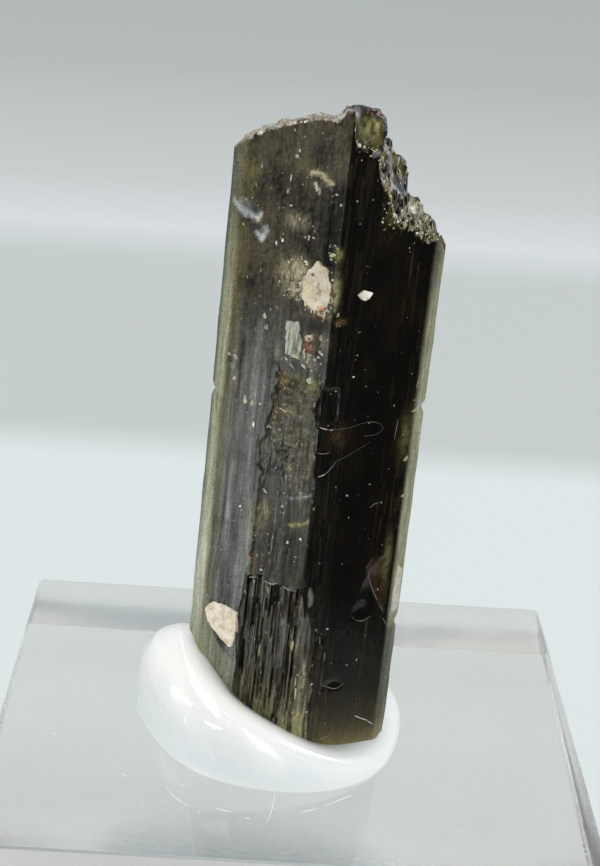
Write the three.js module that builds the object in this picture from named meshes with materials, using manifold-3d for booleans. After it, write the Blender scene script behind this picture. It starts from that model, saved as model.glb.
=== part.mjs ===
// Fluoro-richterite crystal, held upright by a lump of mineral tack on a clear display block.
// Millimetres, +Z up, origin at the centre of the block's underside. The front is -Y.
import * as THREE from "three";
import { mergeVertices } from "three/addons/utils/BufferGeometryUtils.js";
import Module from "manifold-3d";

const wasm = await Module();
wasm.setup();

// Display block
const BLOCK_SIDE = 31.75;
const BLOCK_HEIGHT = 10.2;
const BLOCK_CHAMFER = 0.3;

// Mineral tack: a pressed ball. Its reach, its height at the rim and its height inside, where the
// crystal has pressed it down, are given at eight even azimuths from +X
const TACK_CENTRE = [-1.3, -2.2];
const TACK_REACH = [7.35, 8.9, 9.25, 9.0, 6.7, 6.0, 6.75, 7.4];
const TACK_RIM = [1.75, 2.15, 2.95, 3.4, 7.65, 9.0, 5.3, 2.0];
const TACK_INSIDE = [0.65, 2.2, 3.45, 3.8, 4.9, 2.15, 1.3, 0.35];
const TACK_SIDE_ROUNDING = 0.45;
const TACK_TOP_ROUNDING = 0.52;
const TACK_SPOKES = 56;
const TACK_RINGS = 13;
const TACK_GAP = 0.12;

// Crystal: a prism whose broad faces meet at 124 degrees in front and behind
const CRYSTAL_FOOT = [-0.5, -3.8];
const CRYSTAL_LEAN = THREE.MathUtils.degToRad(1.9);
const CRYSTAL_TOP = 35.1;
const HALF_WIDTH = 5.45;
const FACE_SLOPE = 0.53;
const FRONT_RIDGE = { p: 0.05, q: -3.25 };
const BACK_RIDGE = { p: -0.1, q: 3.2 };
const LEFT_BEVEL_AT = -4.75;
const RIGHT_BEVEL_AT = 4.88;
const SIDE_FACE_HALF = 0.3;
const STRIATION_DEPTH = 0.08;
const FRONT_STRIATIONS = 15;
const BACK_STRIATIONS = 11;

// The broken top: height along the front edge and along the back, left to right
const TOP_FRONT = [
  [-5.6, 32.0], [-4.9, 32.7], [-4.1, 33.3], [-3.1, 33.8], [-1.6, 34.4], [-0.5, 34.5], [-0.25, 35.0],
  [0.1, 35.05], [0.3, 33.5], [1.1, 33.3], [1.5, 32.8], [1.7, 32.0], [2.2, 31.2], [2.6, 30.0],
  [3.5, 29.3], [5.6, 28.5],
];
const TOP_BACK = [
  [-5.6, 31.6], [-4.2, 32.8], [-1.6, 33.7], [0.0, 33.6], [1.8, 33.2], [2.1, 33.1], [2.3, 32.3],
  [3.0, 32.0], [3.2, 30.6], [4.1, 30.1], [5.0, 29.1], [5.6, 28.5],
];
const TOP_CREST_DEPTH = 3.4;
const TOP_FALL = { slope: 0.22, fromFace: 0.8, fromMiddle: 1.2 };
const TOP_ROUGHNESS = { left: 0.14, right: 0.42 };
const TOP_CUTTER = { width: 12.4, length: 8, across: 46, back: 18 };

// How far a cutter reaches past what it cuts
const CLEAR = 2;

// The knob on the top, seen from the front, and its depth from front to back
const KNOB_OUTLINE = [
  [-0.3, 33.0], [-0.4, 34.4], [-0.1, 34.95], [0.6, 35.05], [1.4, 34.95], [1.7, 34.5], [1.75, 33.9],
  [1.55, 33.2], [1.2, 32.6],
];
const KNOB_FRONT = -2.45;
const KNOB_DEPTH = 1.5;
const KNOB_ROUNDING = 0.22;

// The foot's outline, left to right, where the crystal ends inside the tack
const FOOT_LINE = [
  [-6.2, 7.4], [-5.0, 5.6], [-3.5, 3.8], [-1.4, 2.6], [0.6, 1.7], [2.0, 0.9], [3.7, 0.7], [5.0, 0.9],
  [6.2, 2.0],
];
const FOOT_BEVEL = { from: [-4.75, 8.1], to: [-2.6, 4.9], tilt: 0.3 };

// The etched hollow at the lower left: upright grooves with a ragged upper end
const HOLLOW = { left: -2.95, right: 1.0, top: 10.35, ragged: 0.5, grooves: 15, shallow: 0.16, deep: 0.52 };

// Growth terraces sunk into the front faces beside the ridge: outline and depth
const TERRACES = [
  {
    face: "left", depth: 0.12,
    outline: [
      [-2.55, 20.4], [-2.05, 21.2], [-1.15, 21.5], [0.4, 21.0], [0.5, 16.4], [-0.3, 16.0], [-1.95, 15.6],
      [-2.4, 14.7], [-2.7, 16.2], [-2.4, 18.4],
    ],
  },
  {
    face: "left", depth: 0.2,
    outline: [
      [-2.0, 18.0], [-1.45, 18.6], [-0.65, 18.7], [-0.3, 17.7], [-0.65, 16.8], [-1.5, 16.5], [-2.0, 17.1],
    ],
  },
  {
    face: "left", depth: 0.16,
    outline: [
      [-2.85, 14.5], [-2.4, 15.3], [-0.55, 15.9], [0.6, 16.2], [0.6, 14.4], [-0.35, 13.7], [-1.1, 13.7],
      [-1.9, 13.2], [-2.6, 13.1],
    ],
  },
  {
    face: "right", depth: 0.16,
    outline: [[-0.4, 21.0], [0.15, 21.1], [0.6, 20.7], [0.5, 20.1], [0.15, 19.6], [0.2, 17.0], [-0.3, 16.6]],
  },
];

// Shell-shaped pits and chips: where they are, how wide and tall, how deep
const PITS = [
  { face: "left", p: -4.4, h: 29.5, width: 1.8, height: 0.7, depth: 0.22, turn: -0.5 },
  { face: "left", p: -3.75, h: 28.3, width: 0.9, height: 0.8, depth: 0.18, turn: 0.9 },
  { face: "left", p: 0.2, h: 10.3, width: 1.2, height: 1.3, depth: 0.3, turn: 0 },
  { face: "left", p: -4.2, h: 21.9, width: 0.5, height: 0.8, depth: 0.15, turn: 0.3 },
  { face: "right", p: 3.4, h: 8.9, width: 1.2, height: 1.0, depth: 0.24, turn: 0.4 },
  { face: "right", p: 2.3, h: 4.7, width: 1.4, height: 0.7, depth: 0.2, turn: 0 },
  { face: "left", p: -1.75, h: 29.75, width: 0.8, height: 0.45, depth: 0.12, turn: -0.3 },
  { face: "right", p: 3.95, h: 10.4, width: 1.3, height: 2.9, depth: 0.34, turn: -0.25 },
  { face: "backLeft", p: -2.4, h: 24.5, width: 1.6, height: 1.1, depth: 0.25, turn: 0.5 },
  { face: "backLeft", p: -3.4, h: 12.0, width: 1.0, height: 1.9, depth: 0.2, turn: 0.2 },
  { face: "backRight", p: 2.6, h: 18.2, width: 1.5, height: 1.2, depth: 0.26, turn: -0.4 },
];
const PIT_LIFT = 0.6;

// Nicks on the two side edges, where an old crack meets them
const EDGE_NICKS = [
  { p: -5.5, h: 19.75, size: 0.42 },
  { p: 5.48, h: 19.85, size: 0.42 },
  { p: 5.5, h: 7.85, size: 0.34 },
];

// Embedded grains: outline on the face as seen from the front, and how far each stands proud
const GRAINS = {
  calcite_grain_upper: {
    face: "left", proud: 0.16, depth: 0.6, colour: 0xe6dcd4,
    outline: [
      [-0.89, 27.63], [-0.33, 27.27], [-0.1, 26.3], [-0.12, 25.7], [-0.35, 25.2], [-0.75, 25.15],
      [-1.18, 25.35], [-1.41, 25.7], [-1.46, 26.55], [-1.28, 27.1],
    ],
  },
  calcite_grain_middle: {
    face: "left", proud: 0.08, depth: 0.45, colour: 0xa9ab96,
    outline: [[-2.2, 24.3], [-1.4, 24.4], [-1.35, 23.5], [-1.5, 22.65], [-1.9, 22.85]],
  },
  stained_grain: {
    face: "left", proud: 0.1, depth: 0.45, colour: 0xb07c48,
    outline: [[-1.12, 23.85], [-0.7, 23.95], [-0.3, 23.7], [-0.5, 22.75], [-0.95, 22.8]],
  },
  calcite_speck: {
    face: "right", proud: 0.12, depth: 0.35, colour: 0xf2efe9,
    outline: [[1.2, 26.05], [1.5, 26.3], [1.98, 26.15], [1.8, 25.85], [1.6, 25.72], [1.35, 25.85]],
  },
  calcite_grain_lower_left: {
    face: "left", proud: 0.07, depth: 0.5, colour: 0xe0d2c8,
    outline: [
      [-4.7, 7.75], [-4.6, 8.12], [-4.35, 8.35], [-3.65, 8.38], [-3.05, 8.2], [-3.0, 7.0], [-3.1, 6.2],
      [-3.3, 6.12], [-3.75, 6.4], [-4.45, 7.1],
    ],
  },
  calcite_grain_right_edge: {
    face: "rightBevel", proud: 0.05, depth: 0.4, colour: 0xb9bab2,
    outline: [
      [5.06, 11.2], [5.36, 10.9], [5.4, 9.5], [5.38, 8.7], [5.1, 8.4], [4.98, 8.7], [4.96, 9.7], [5.0, 10.6],
    ],
  },
};
const GRAIN_BEVEL = 0.05;
const GRAIN_GAP = 0.06;

// Repeatable random numbers between 0 and 1
function seededRandom(seed) {
  let state = seed;
  return () => {
    state = (state * 1664525 + 1013904223) % 4294967296;
    return state / 4294967296;
  };
}

// A closed geometry with positions only and shared vertices
function closed(geometry) {
  const bare = geometry.clone();
  bare.deleteAttribute("normal");
  bare.deleteAttribute("uv");
  return mergeVertices(bare, 1e-4);
}

// A geometry as a solid that can be joined and cut
function solid(geometry) {
  const mesh = closed(geometry);
  return new wasm.Manifold(
    new wasm.Mesh({
      numProp: 3,
      vertProperties: new Float32Array(mesh.attributes.position.array),
      triVerts: new Uint32Array(mesh.index.array),
    }),
  );
}

// A solid as a flat-shaded geometry
function geometryOf(made) {
  const mesh = made.getMesh();
  const geometry = new THREE.BufferGeometry();
  geometry.setAttribute("position", new THREE.BufferAttribute(mesh.vertProperties, 3));
  geometry.setIndex(new THREE.BufferAttribute(mesh.triVerts, 1));
  const flat = geometry.toNonIndexed();
  flat.computeVertexNormals();
  return flat;
}

// A height read off a line of [position, height] points
function alongLine(line, at) {
  let i = 1;
  while (i < line.length - 1 && line[i][0] < at) i += 1;
  const [fromAt, fromHeight] = line[i - 1];
  const [toAt, toHeight] = line[i];
  const share = THREE.MathUtils.clamp((at - fromAt) / (toAt - fromAt), 0, 1);
  return THREE.MathUtils.lerp(fromHeight, toHeight, share);
}

// Depth of a broad front face at a place across the crystal
function frontFaceAt(p) {
  return FRONT_RIDGE.q + FACE_SLOPE * Math.abs(p - FRONT_RIDGE.p);
}

// Where a point of a face lies: origin on the face, X across it, Y up, Z outward
function faceFrame(face, p, h) {
  const slope = Math.atan(FACE_SLOPE);
  const bevelTurn = Math.atan2(-frontFaceAt(RIGHT_BEVEL_AT), HALF_WIDTH - RIGHT_BEVEL_AT);
  const turns = {
    left: -slope, right: slope, rightBevel: bevelTurn, backLeft: Math.PI + slope, backRight: Math.PI - slope,
  };
  const turn = turns[face];
  const across = new THREE.Vector3(Math.cos(turn), Math.sin(turn), 0);
  const up = new THREE.Vector3(0, 0, 1);
  const out = new THREE.Vector3().crossVectors(across, up);
  let q = frontFaceAt(p);
  if (face.startsWith("back")) q = BACK_RIDGE.q - FACE_SLOPE * Math.abs(p - BACK_RIDGE.p);
  if (face === "rightBevel") {
    q = frontFaceAt(RIGHT_BEVEL_AT) + (p - RIGHT_BEVEL_AT) * Math.tan(bevelTurn);
  }
  return new THREE.Matrix4().makeBasis(across, up, out).setPosition(p, q, h);
}

// One side of the crystal's section, broken into shallow upright striations
function striatedSide(from, to, count, random) {
  const start = new THREE.Vector2(...from);
  const run = new THREE.Vector2(...to).sub(start);
  const inward = new THREE.Vector2(-run.y, run.x).normalize();
  const points = [start];
  for (let i = 1; i < count; i += 1) {
    const share = (i + 0.6 * (random() - 0.5)) / count;
    const depth = STRIATION_DEPTH * random();
    points.push(start.clone().addScaledVector(run, share).addScaledVector(inward, depth));
  }
  return points;
}

// The crystal's section, anticlockwise from the left end of the left front face
function crystalSection() {
  const random = seededRandom(17);
  const leftBevel = [LEFT_BEVEL_AT, frontFaceAt(LEFT_BEVEL_AT)];
  const rightBevel = [RIGHT_BEVEL_AT, frontFaceAt(RIGHT_BEVEL_AT)];
  return [
    ...striatedSide(leftBevel, [FRONT_RIDGE.p, FRONT_RIDGE.q], FRONT_STRIATIONS, random),
    ...striatedSide([FRONT_RIDGE.p, FRONT_RIDGE.q], rightBevel, FRONT_STRIATIONS, random),
    new THREE.Vector2(...rightBevel),
    new THREE.Vector2(HALF_WIDTH, 0),
    ...striatedSide([HALF_WIDTH, SIDE_FACE_HALF], [BACK_RIDGE.p, BACK_RIDGE.q], BACK_STRIATIONS, random),
    ...striatedSide([BACK_RIDGE.p, BACK_RIDGE.q], [-HALF_WIDTH, SIDE_FACE_HALF], BACK_STRIATIONS, random),
    new THREE.Vector2(-HALF_WIDTH, SIDE_FACE_HALF),
    new THREE.Vector2(-HALF_WIDTH, 0),
  ];
}

// The broken top surface above one place of the section
function brokenTop(p, q) {
  const behindFace = Math.max(0, q - frontFaceAt(p));
  const back = alongLine(TOP_BACK, p);
  const front = alongLine(TOP_FRONT, p);
  if (p < FRONT_RIDGE.p) return front - TOP_FALL.slope * Math.max(0, behindFace - TOP_FALL.fromFace);
  const rise = THREE.MathUtils.smoothstep(behindFace, 0.1, TOP_CREST_DEPTH - FACE_SLOPE * p);
  const crest = THREE.MathUtils.lerp(front, back, rise);
  return crest - TOP_FALL.slope * Math.max(0, q - TOP_FALL.fromMiddle);
}

// Everything above the broken top, to be cut away
function topCutter() {
  const random = seededRandom(5);
  const { width, length, across, back } = TOP_CUTTER;
  const cutter = closed(new THREE.BoxGeometry(width, length, CLEAR, across, back, 1));
  const places = cutter.attributes.position;
  for (let i = 0; i < places.count; i += 1) {
    const p = places.getX(i);
    const q = places.getY(i);
    const rough = (p < 0 ? TOP_ROUGHNESS.left : TOP_ROUGHNESS.right) * (random() - 0.5);
    const bottom = brokenTop(p, q) + rough;
    places.setZ(i, places.getZ(i) < 0 ? bottom : CRYSTAL_TOP + CLEAR);
  }
  return solid(cutter);
}

// The knob that stands on the broken top
function knob() {
  const outline = new THREE.Shape(KNOB_OUTLINE.map(([p, h]) => new THREE.Vector2(p, h)));
  const geometry = new THREE.ExtrudeGeometry(outline, {
    depth: KNOB_DEPTH - 2 * KNOB_ROUNDING,
    bevelThickness: KNOB_ROUNDING,
    bevelSize: KNOB_ROUNDING,
    bevelOffset: -KNOB_ROUNDING,
    bevelSegments: 2,
  });
  geometry.rotateX(Math.PI / 2);
  geometry.translate(0, KNOB_FRONT + KNOB_DEPTH - KNOB_ROUNDING, 0);
  return solid(geometry);
}

// Everything below the foot line, to be cut away
function footCutter() {
  const outline = new THREE.Shape(FOOT_LINE.map(([p, h]) => new THREE.Vector2(p, h)));
  const reach = HALF_WIDTH + CLEAR;
  const halfDepth = BACK_RIDGE.q + CLEAR;
  outline.lineTo(reach, -CLEAR);
  outline.lineTo(-reach, -CLEAR);
  const geometry = new THREE.ExtrudeGeometry(outline, { depth: 2 * halfDepth, bevelEnabled: false });
  geometry.rotateX(Math.PI / 2);
  geometry.translate(0, halfDepth, 0);
  return solid(geometry);
}

// The smooth slanting facet that ends the left front face above the foot
function footBevelCutter() {
  const [fromP, fromH] = FOOT_BEVEL.from;
  const [toP, toH] = FOOT_BEVEL.to;
  const slope = Math.atan(FACE_SLOPE);
  const acrossFace = (toP - fromP) / Math.cos(slope);
  const size = 12;
  const geometry = new THREE.BoxGeometry(size, size, size);
  geometry.translate(0, -size / 2, size / 2);
  geometry.rotateX(FOOT_BEVEL.tilt);
  geometry.rotateZ(Math.atan2(toH - fromH, acrossFace));
  geometry.applyMatrix4(faceFrame("left", fromP, fromH));
  return solid(geometry);
}

// One upright groove of the etched hollow, open at the front and at the foot
function groove(from, to, depth, top) {
  const geometry = new THREE.BoxGeometry(to - from, CLEAR + depth, top + CLEAR);
  geometry.translate(0, (depth - CLEAR) / 2, (top - CLEAR) / 2);
  geometry.rotateZ(-Math.atan(FACE_SLOPE));
  const middle = (from + to) / 2;
  const faceDepth = FRONT_RIDGE.q - FACE_SLOPE * (middle - FRONT_RIDGE.p);
  geometry.translate(middle, faceDepth, 0);
  return solid(geometry);
}

// The etched hollow at the lower left
function hollowCutter() {
  const random = seededRandom(31);
  const pitch = (HOLLOW.right - HOLLOW.left) / HOLLOW.grooves;
  let cutter = null;
  for (let i = 0; i < HOLLOW.grooves; i += 1) {
    const from = HOLLOW.left + i * pitch;
    const depth = THREE.MathUtils.lerp(HOLLOW.shallow, HOLLOW.deep, random());
    const top = HOLLOW.top + HOLLOW.ragged * (random() - 0.5);
    const cut = groove(from, from + 1.18 * pitch, depth, top);
    cutter = cutter ? cutter.add(cut) : cut;
  }
  return cutter;
}

// A shape drawn on a face, from points given across the crystal and up it
function shapeOnFace(outline, frame, centre) {
  const across = frame.elements[0];
  return new THREE.Shape(outline.map(([p, h]) => new THREE.Vector2((p - centre.x) / across, h - centre.y)));
}

function middleOf(outline) {
  const centre = new THREE.Vector2();
  for (const [p, h] of outline) centre.add(new THREE.Vector2(p, h));
  return centre.divideScalar(outline.length);
}

// A flat-bottomed step sunk into a front face
function terraceCutter({ face, outline, depth }) {
  const centre = middleOf(outline);
  const frame = faceFrame(face, centre.x, centre.y);
  const geometry = new THREE.ExtrudeGeometry(shapeOnFace(outline, frame, centre), {
    depth: CLEAR, bevelEnabled: false,
  });
  geometry.translate(0, 0, -depth);
  geometry.applyMatrix4(frame);
  return solid(geometry);
}

// A shell-shaped pit, cut by a ball whose centre stands off the face by PIT_LIFT of its radius
function pitCutter({ face, p, h, width, height, depth, turn }) {
  const rim = Math.sqrt(1 - PIT_LIFT ** 2);
  const radius = depth / (1 - PIT_LIFT);
  const geometry = new THREE.SphereGeometry(1, 12, 8);
  geometry.scale(width / 2 / rim, height / 2 / rim, radius);
  geometry.rotateZ(turn);
  geometry.translate(0, 0, radius * PIT_LIFT);
  geometry.applyMatrix4(faceFrame(face, p, h));
  return solid(geometry);
}

// A small three-sided nick on a side edge
function nickCutter({ p, h, size }) {
  const geometry = new THREE.OctahedronGeometry(size);
  geometry.scale(0.5, 2.4, 0.8);
  geometry.translate(p, 0, h);
  return solid(geometry);
}

// An embedded grain's body, grown all round by a margin for the pocket that holds it
function grainBody({ face, outline, depth, proud }, margin) {
  const centre = middleOf(outline);
  const frame = faceFrame(face, centre.x, centre.y);
  const geometry = new THREE.ExtrudeGeometry(shapeOnFace(outline, frame, centre), {
    depth: depth + proud - 2 * GRAIN_BEVEL + (margin ? CLEAR : 0),
    bevelThickness: GRAIN_BEVEL,
    bevelSize: GRAIN_BEVEL,
    bevelOffset: margin - GRAIN_BEVEL,
    bevelSegments: 1,
  });
  geometry.translate(0, 0, GRAIN_BEVEL - depth - margin);
  geometry.applyMatrix4(frame);
  return solid(geometry);
}

// The whole crystal as one solid, in its own upright frame
function crystalSolid() {
  const section = new THREE.Shape(crystalSection());
  const prism = new THREE.ExtrudeGeometry(section, { depth: CRYSTAL_TOP + 1, bevelEnabled: false });
  let crystal = solid(prism).subtract(topCutter()).add(knob());
  crystal = crystal.subtract(footCutter()).subtract(footBevelCutter()).subtract(hollowCutter());
  for (const terrace of TERRACES) crystal = crystal.subtract(terraceCutter(terrace));
  for (const pit of PITS) crystal = crystal.subtract(pitCutter(pit));
  for (const nick of EDGE_NICKS) crystal = crystal.subtract(nickCutter(nick));
  for (const grain of Object.values(GRAINS)) crystal = crystal.subtract(grainBody(grain, GRAIN_GAP));
  return crystal;
}

// A value that runs smoothly round the tack through its eight azimuths
function aroundTack(values, azimuth) {
  const count = values.length;
  return values.reduce((sum, value, i) => {
    const turn = azimuth - (i * 2 * Math.PI) / count;
    let weight = (1 + Math.cos((count / 2) * turn)) / count;
    for (let wave = 1; wave < count / 2; wave += 1) weight += (2 / count) * Math.cos(wave * turn);
    return sum + value * weight;
  }, 0);
}

// The lump of tack before the crystal is pressed in, flat underneath, with its foot at height 0
function tackBody() {
  const profile = [new THREE.Vector2(0, 0)];
  for (let i = 0; i <= TACK_RINGS; i += 1) {
    const rise = (i / TACK_RINGS) * (Math.PI / 2);
    const reach = i === TACK_RINGS ? 0 : Math.cos(rise) ** TACK_SIDE_ROUNDING;
    profile.push(new THREE.Vector2(reach, i === 0 ? 0 : Math.sin(rise) ** TACK_TOP_ROUNDING));
  }
  const geometry = new THREE.LatheGeometry(profile, TACK_SPOKES);
  geometry.rotateX(Math.PI / 2);
  const lump = closed(geometry);
  const places = lump.attributes.position;
  for (let i = 0; i < places.count; i += 1) {
    const azimuth = Math.atan2(places.getY(i), places.getX(i));
    const share = Math.hypot(places.getX(i), places.getY(i));
    const reach = aroundTack(TACK_REACH, azimuth) * share;
    const rim = aroundTack(TACK_RIM, azimuth);
    const height = THREE.MathUtils.lerp(aroundTack(TACK_INSIDE, azimuth), rim, share * share);
    const rise = Math.abs(places.getZ(i)) < 1e-6 ? 0 : places.getZ(i) * height;
    places.setXYZ(i, reach * Math.cos(azimuth), reach * Math.sin(azimuth), rise);
  }
  lump.translate(TACK_CENTRE[0], TACK_CENTRE[1], BLOCK_HEIGHT);
  return solid(lump);
}

// The room the crystal takes in the tack, with a thin gap all round
function crystalSocket(placement) {
  const grow = 1 + TACK_GAP / Math.abs(FRONT_RIDGE.q);
  const outline = crystalSection().map((point) => point.clone().multiplyScalar(grow));
  const depth = Math.max(...TACK_RIM) + CLEAR;
  const socket = new THREE.ExtrudeGeometry(new THREE.Shape(outline), { depth, bevelEnabled: false });
  const floor = footCutter().translate([0, 0, -TACK_GAP]);
  const room = geometryOf(solid(socket).subtract(floor));
  room.applyMatrix4(placement);
  return solid(room);
}

function blockGeometry() {
  const half = BLOCK_SIDE / 2;
  const inner = half - BLOCK_CHAMFER;
  const outline = new THREE.Shape();
  outline.moveTo(-inner, -half);
  outline.lineTo(inner, -half);
  outline.lineTo(half, -inner);
  outline.lineTo(half, inner);
  outline.lineTo(inner, half);
  outline.lineTo(-inner, half);
  outline.lineTo(-half, inner);
  outline.lineTo(-half, -inner);
  outline.closePath();
  const geometry = new THREE.ExtrudeGeometry(outline, {
    depth: BLOCK_HEIGHT - 2 * BLOCK_CHAMFER,
    bevelThickness: BLOCK_CHAMFER,
    bevelSize: BLOCK_CHAMFER,
    bevelOffset: -BLOCK_CHAMFER,
    bevelSegments: 1,
  });
  geometry.translate(0, 0, BLOCK_CHAMFER);
  return geometry;
}

const crystalMaterial = () =>
  new THREE.MeshStandardMaterial({ color: 0x23261d, roughness: 0.3, metalness: 0 });

const grainMaterial = (colour) =>
  new THREE.MeshStandardMaterial({ color: colour, roughness: 0.7, metalness: 0 });

const tackMaterial = () =>
  new THREE.MeshStandardMaterial({ color: 0xe9edf0, roughness: 0.25, metalness: 0 });

const blockMaterial = () =>
  new THREE.MeshStandardMaterial({
    color: 0xe8f0f2, roughness: 0.05, metalness: 0, transparent: true, opacity: 0.35,
  });

function namedMesh(name, geometry, material) {
  const mesh = new THREE.Mesh(geometry, material);
  mesh.name = name;
  return mesh;
}

function crystalGroup() {
  const group = new THREE.Group();
  group.position.set(CRYSTAL_FOOT[0], CRYSTAL_FOOT[1], BLOCK_HEIGHT);
  group.rotation.y = CRYSTAL_LEAN;
  group.add(namedMesh("richterite_crystal", geometryOf(crystalSolid()), crystalMaterial()));
  for (const [name, grain] of Object.entries(GRAINS)) {
    group.add(namedMesh(name, geometryOf(grainBody(grain, 0)), grainMaterial(grain.colour)));
  }
  group.updateMatrix();
  return group;
}

function specimen() {
  const group = new THREE.Group();
  const crystal = crystalGroup();
  const tack = tackBody().subtract(crystalSocket(crystal.matrix));
  group.add(namedMesh("acrylic_base", blockGeometry(), blockMaterial()));
  group.add(namedMesh("mineral_tack", geometryOf(tack), tackMaterial()));
  group.add(crystal);
  return group;
}

export default specimen();
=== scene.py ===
import math

import bpy
import numpy as np
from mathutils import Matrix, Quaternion, Vector


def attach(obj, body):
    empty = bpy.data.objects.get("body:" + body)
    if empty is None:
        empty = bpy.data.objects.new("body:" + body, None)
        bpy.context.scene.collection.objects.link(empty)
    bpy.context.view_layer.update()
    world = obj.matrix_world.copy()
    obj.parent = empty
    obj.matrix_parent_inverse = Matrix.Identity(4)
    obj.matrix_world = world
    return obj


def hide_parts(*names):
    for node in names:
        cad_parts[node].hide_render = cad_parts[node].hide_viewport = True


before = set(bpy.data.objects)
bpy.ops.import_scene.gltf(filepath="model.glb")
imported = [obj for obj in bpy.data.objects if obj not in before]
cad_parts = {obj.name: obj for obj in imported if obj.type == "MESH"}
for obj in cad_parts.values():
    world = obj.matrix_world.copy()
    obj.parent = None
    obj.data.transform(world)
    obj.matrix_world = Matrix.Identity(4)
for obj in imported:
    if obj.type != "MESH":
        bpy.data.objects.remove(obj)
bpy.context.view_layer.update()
mm = 0.001

# Everything is shaped in millimetres. The crystal has a frame of its own: p to the right, q to the back
# and h up its axis, from its foot on the block's top.

def deselect():
    if bpy.context.mode != "OBJECT":
        bpy.ops.object.mode_set(mode="OBJECT")
    bpy.ops.object.select_all(action="DESELECT")

def pick(piece):
    deselect()
    piece.select_set(True)
    bpy.context.view_layer.objects.active = piece

def added(name):
    piece = bpy.context.active_object
    piece.name = name
    piece.data.name = name
    return piece

def readPoints(piece):
    flat = np.empty(len(piece.data.vertices) * 3)
    piece.data.vertices.foreach_get("co", flat)
    return flat.reshape(-1, 3)

def writePoints(piece, points):
    piece.data.vertices.foreach_set("co", np.ascontiguousarray(points, dtype=float).ravel())
    piece.data.update()

def useModifier(piece, kind, **settings):
    pick(piece)
    modifier = piece.modifiers.new(kind.title(), kind)
    for key, value in settings.items():
        setattr(modifier, key, value)
    bpy.ops.object.modifier_apply(modifier=modifier.name)

def cutWith(piece, cutter, operation="DIFFERENCE"):
    useModifier(piece, "BOOLEAN", object=cutter, operation=operation, solver="MANIFOLD")
    bpy.data.objects.remove(cutter)

def joined(name, pieces):
    deselect()
    for piece in pieces:
        piece.select_set(True)
    bpy.context.view_layer.objects.active = pieces[0]
    bpy.ops.object.join()
    whole = added(name)
    outwardNormals(whole)
    return whole

def outwardNormals(piece):
    pick(piece)
    bpy.ops.object.mode_set(mode="EDIT")
    bpy.ops.mesh.select_all(action="SELECT")
    bpy.ops.mesh.remove_doubles(threshold=1e-5)
    bpy.ops.mesh.normals_make_consistent(inside=False)
    bpy.ops.object.mode_set(mode="OBJECT")

def smoothTo(piece, degrees):
    pick(piece)
    bpy.ops.object.shade_smooth_by_angle(angle=math.radians(degrees))

def settle(piece, place=(0, 0, 0), lean=0):
    # from millimetres at the origin to its place in the frame, with the place in the mesh
    pick(piece)
    piece.scale = (mm, mm, mm)
    piece.rotation_euler = (0, math.radians(lean), 0)
    piece.location = [value * mm for value in place]
    bpy.ops.object.transform_apply(location=True, rotation=True, scale=True)

def finishPiece(piece, slot, *nodes, material):
    piece.data.materials.clear()
    piece.data.materials.append(material)
    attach(piece, "root")
    if nodes:
        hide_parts(*nodes)
    print("made", piece.name, len(piece.data.polygons), "faces")

# Uneven surfaces: all of these take arrays and give arrays
def lattice(seed):
    return np.random.default_rng(seed).random((256, 256))

def softNoise(u, v, seed):
    table = lattice(seed)
    iu, iv = np.floor(u).astype(int), np.floor(v).astype(int)
    fu, fv = u - iu, v - iv
    fu, fv = fu * fu * (3 - 2 * fu), fv * fv * (3 - 2 * fv)
    near = table[iu % 256, iv % 256] * (1 - fu) + table[(iu + 1) % 256, iv % 256] * fu
    far = table[iu % 256, (iv + 1) % 256] * (1 - fu) + table[(iu + 1) % 256, (iv + 1) % 256] * fu
    return near * (1 - fv) + far * fv

def laths(p, h, width, length, seed):
    # upright laths with ragged ends, each at a depth of its own from 0 to 1
    table = lattice(seed)
    wander = 0.7 * softNoise(p / width, h / (3 * length), seed + 1)
    column = np.floor(p / width + wander).astype(int) % 256
    end = h / length + 9 * table[column, 0]
    return table[column, np.floor(end).astype(int) % 255 + 1]

def chips(u, v, seed, tilt=0.8):
    # flat chips at odd heights and tilts, from about 0 to 1
    jitter = np.random.default_rng(seed).random((64, 64, 5))
    closest = np.full(np.shape(u), 9.0)
    height = np.zeros(np.shape(u))
    for a in (-1, 0, 1):
        for b in (-1, 0, 1):
            cellU, cellV = np.floor(u).astype(int) + a, np.floor(v).astype(int) + b
            chance = jitter[cellU % 64, cellV % 64]
            du, dv = u - cellU - chance[..., 0], v - cellV - chance[..., 1]
            far = du * du + dv * dv
            level = chance[..., 2] + tilt * ((chance[..., 3] - 0.5) * du + (chance[..., 4] - 0.5) * dv)
            height = np.where(far < closest, level, height)
            closest = np.minimum(far, closest)
    return height

def step(value, low, high):
    share = np.clip((value - low) / (high - low), 0, 1)
    return share * share * (3 - 2 * share)

def between(value, low, high, soft):
    return step(value, low - soft, low) * (1 - step(value, high, high + soft))

def inside(outline, p, h):
    found = np.zeros(np.shape(p), bool)
    for (p0, h0), (p1, h1) in zip(outline, outline[1:] + outline[:1]):
        crosses = (h0 > h) != (h1 > h)
        found ^= crosses & (p < (p1 - p0) * (h - h0) / ((h1 - h0) or 1e-9) + p0)
    return found

def nearLine(p, h, points, width):
    # 1 on a drawn line, down to 0 beside it
    closest = np.full(np.shape(p), 99.0)
    for (p0, h0), (p1, h1) in zip(points, points[1:]):
        run, rise = p1 - p0, h1 - h0
        share = np.clip(((p - p0) * run + (h - h0) * rise) / (run * run + rise * rise), 0, 1)
        closest = np.minimum(closest, np.hypot(p - p0 - share * run, h - h0 - share * rise))
    return np.exp(-((closest / width) ** 2))

def softInside(outline, p, h, soft):
    return inside(outline, p, h) * (1 - nearLine(p, h, outline + outline[:1], soft))

def along(line, at):
    return np.interp(at, [place for place, _ in line], [value for _, value in line])

def blob(p, h, centre, size):
    return np.exp(-(((p - centre[0]) / size[0]) ** 2) - ((h - centre[1]) / size[1]) ** 2)

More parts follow.
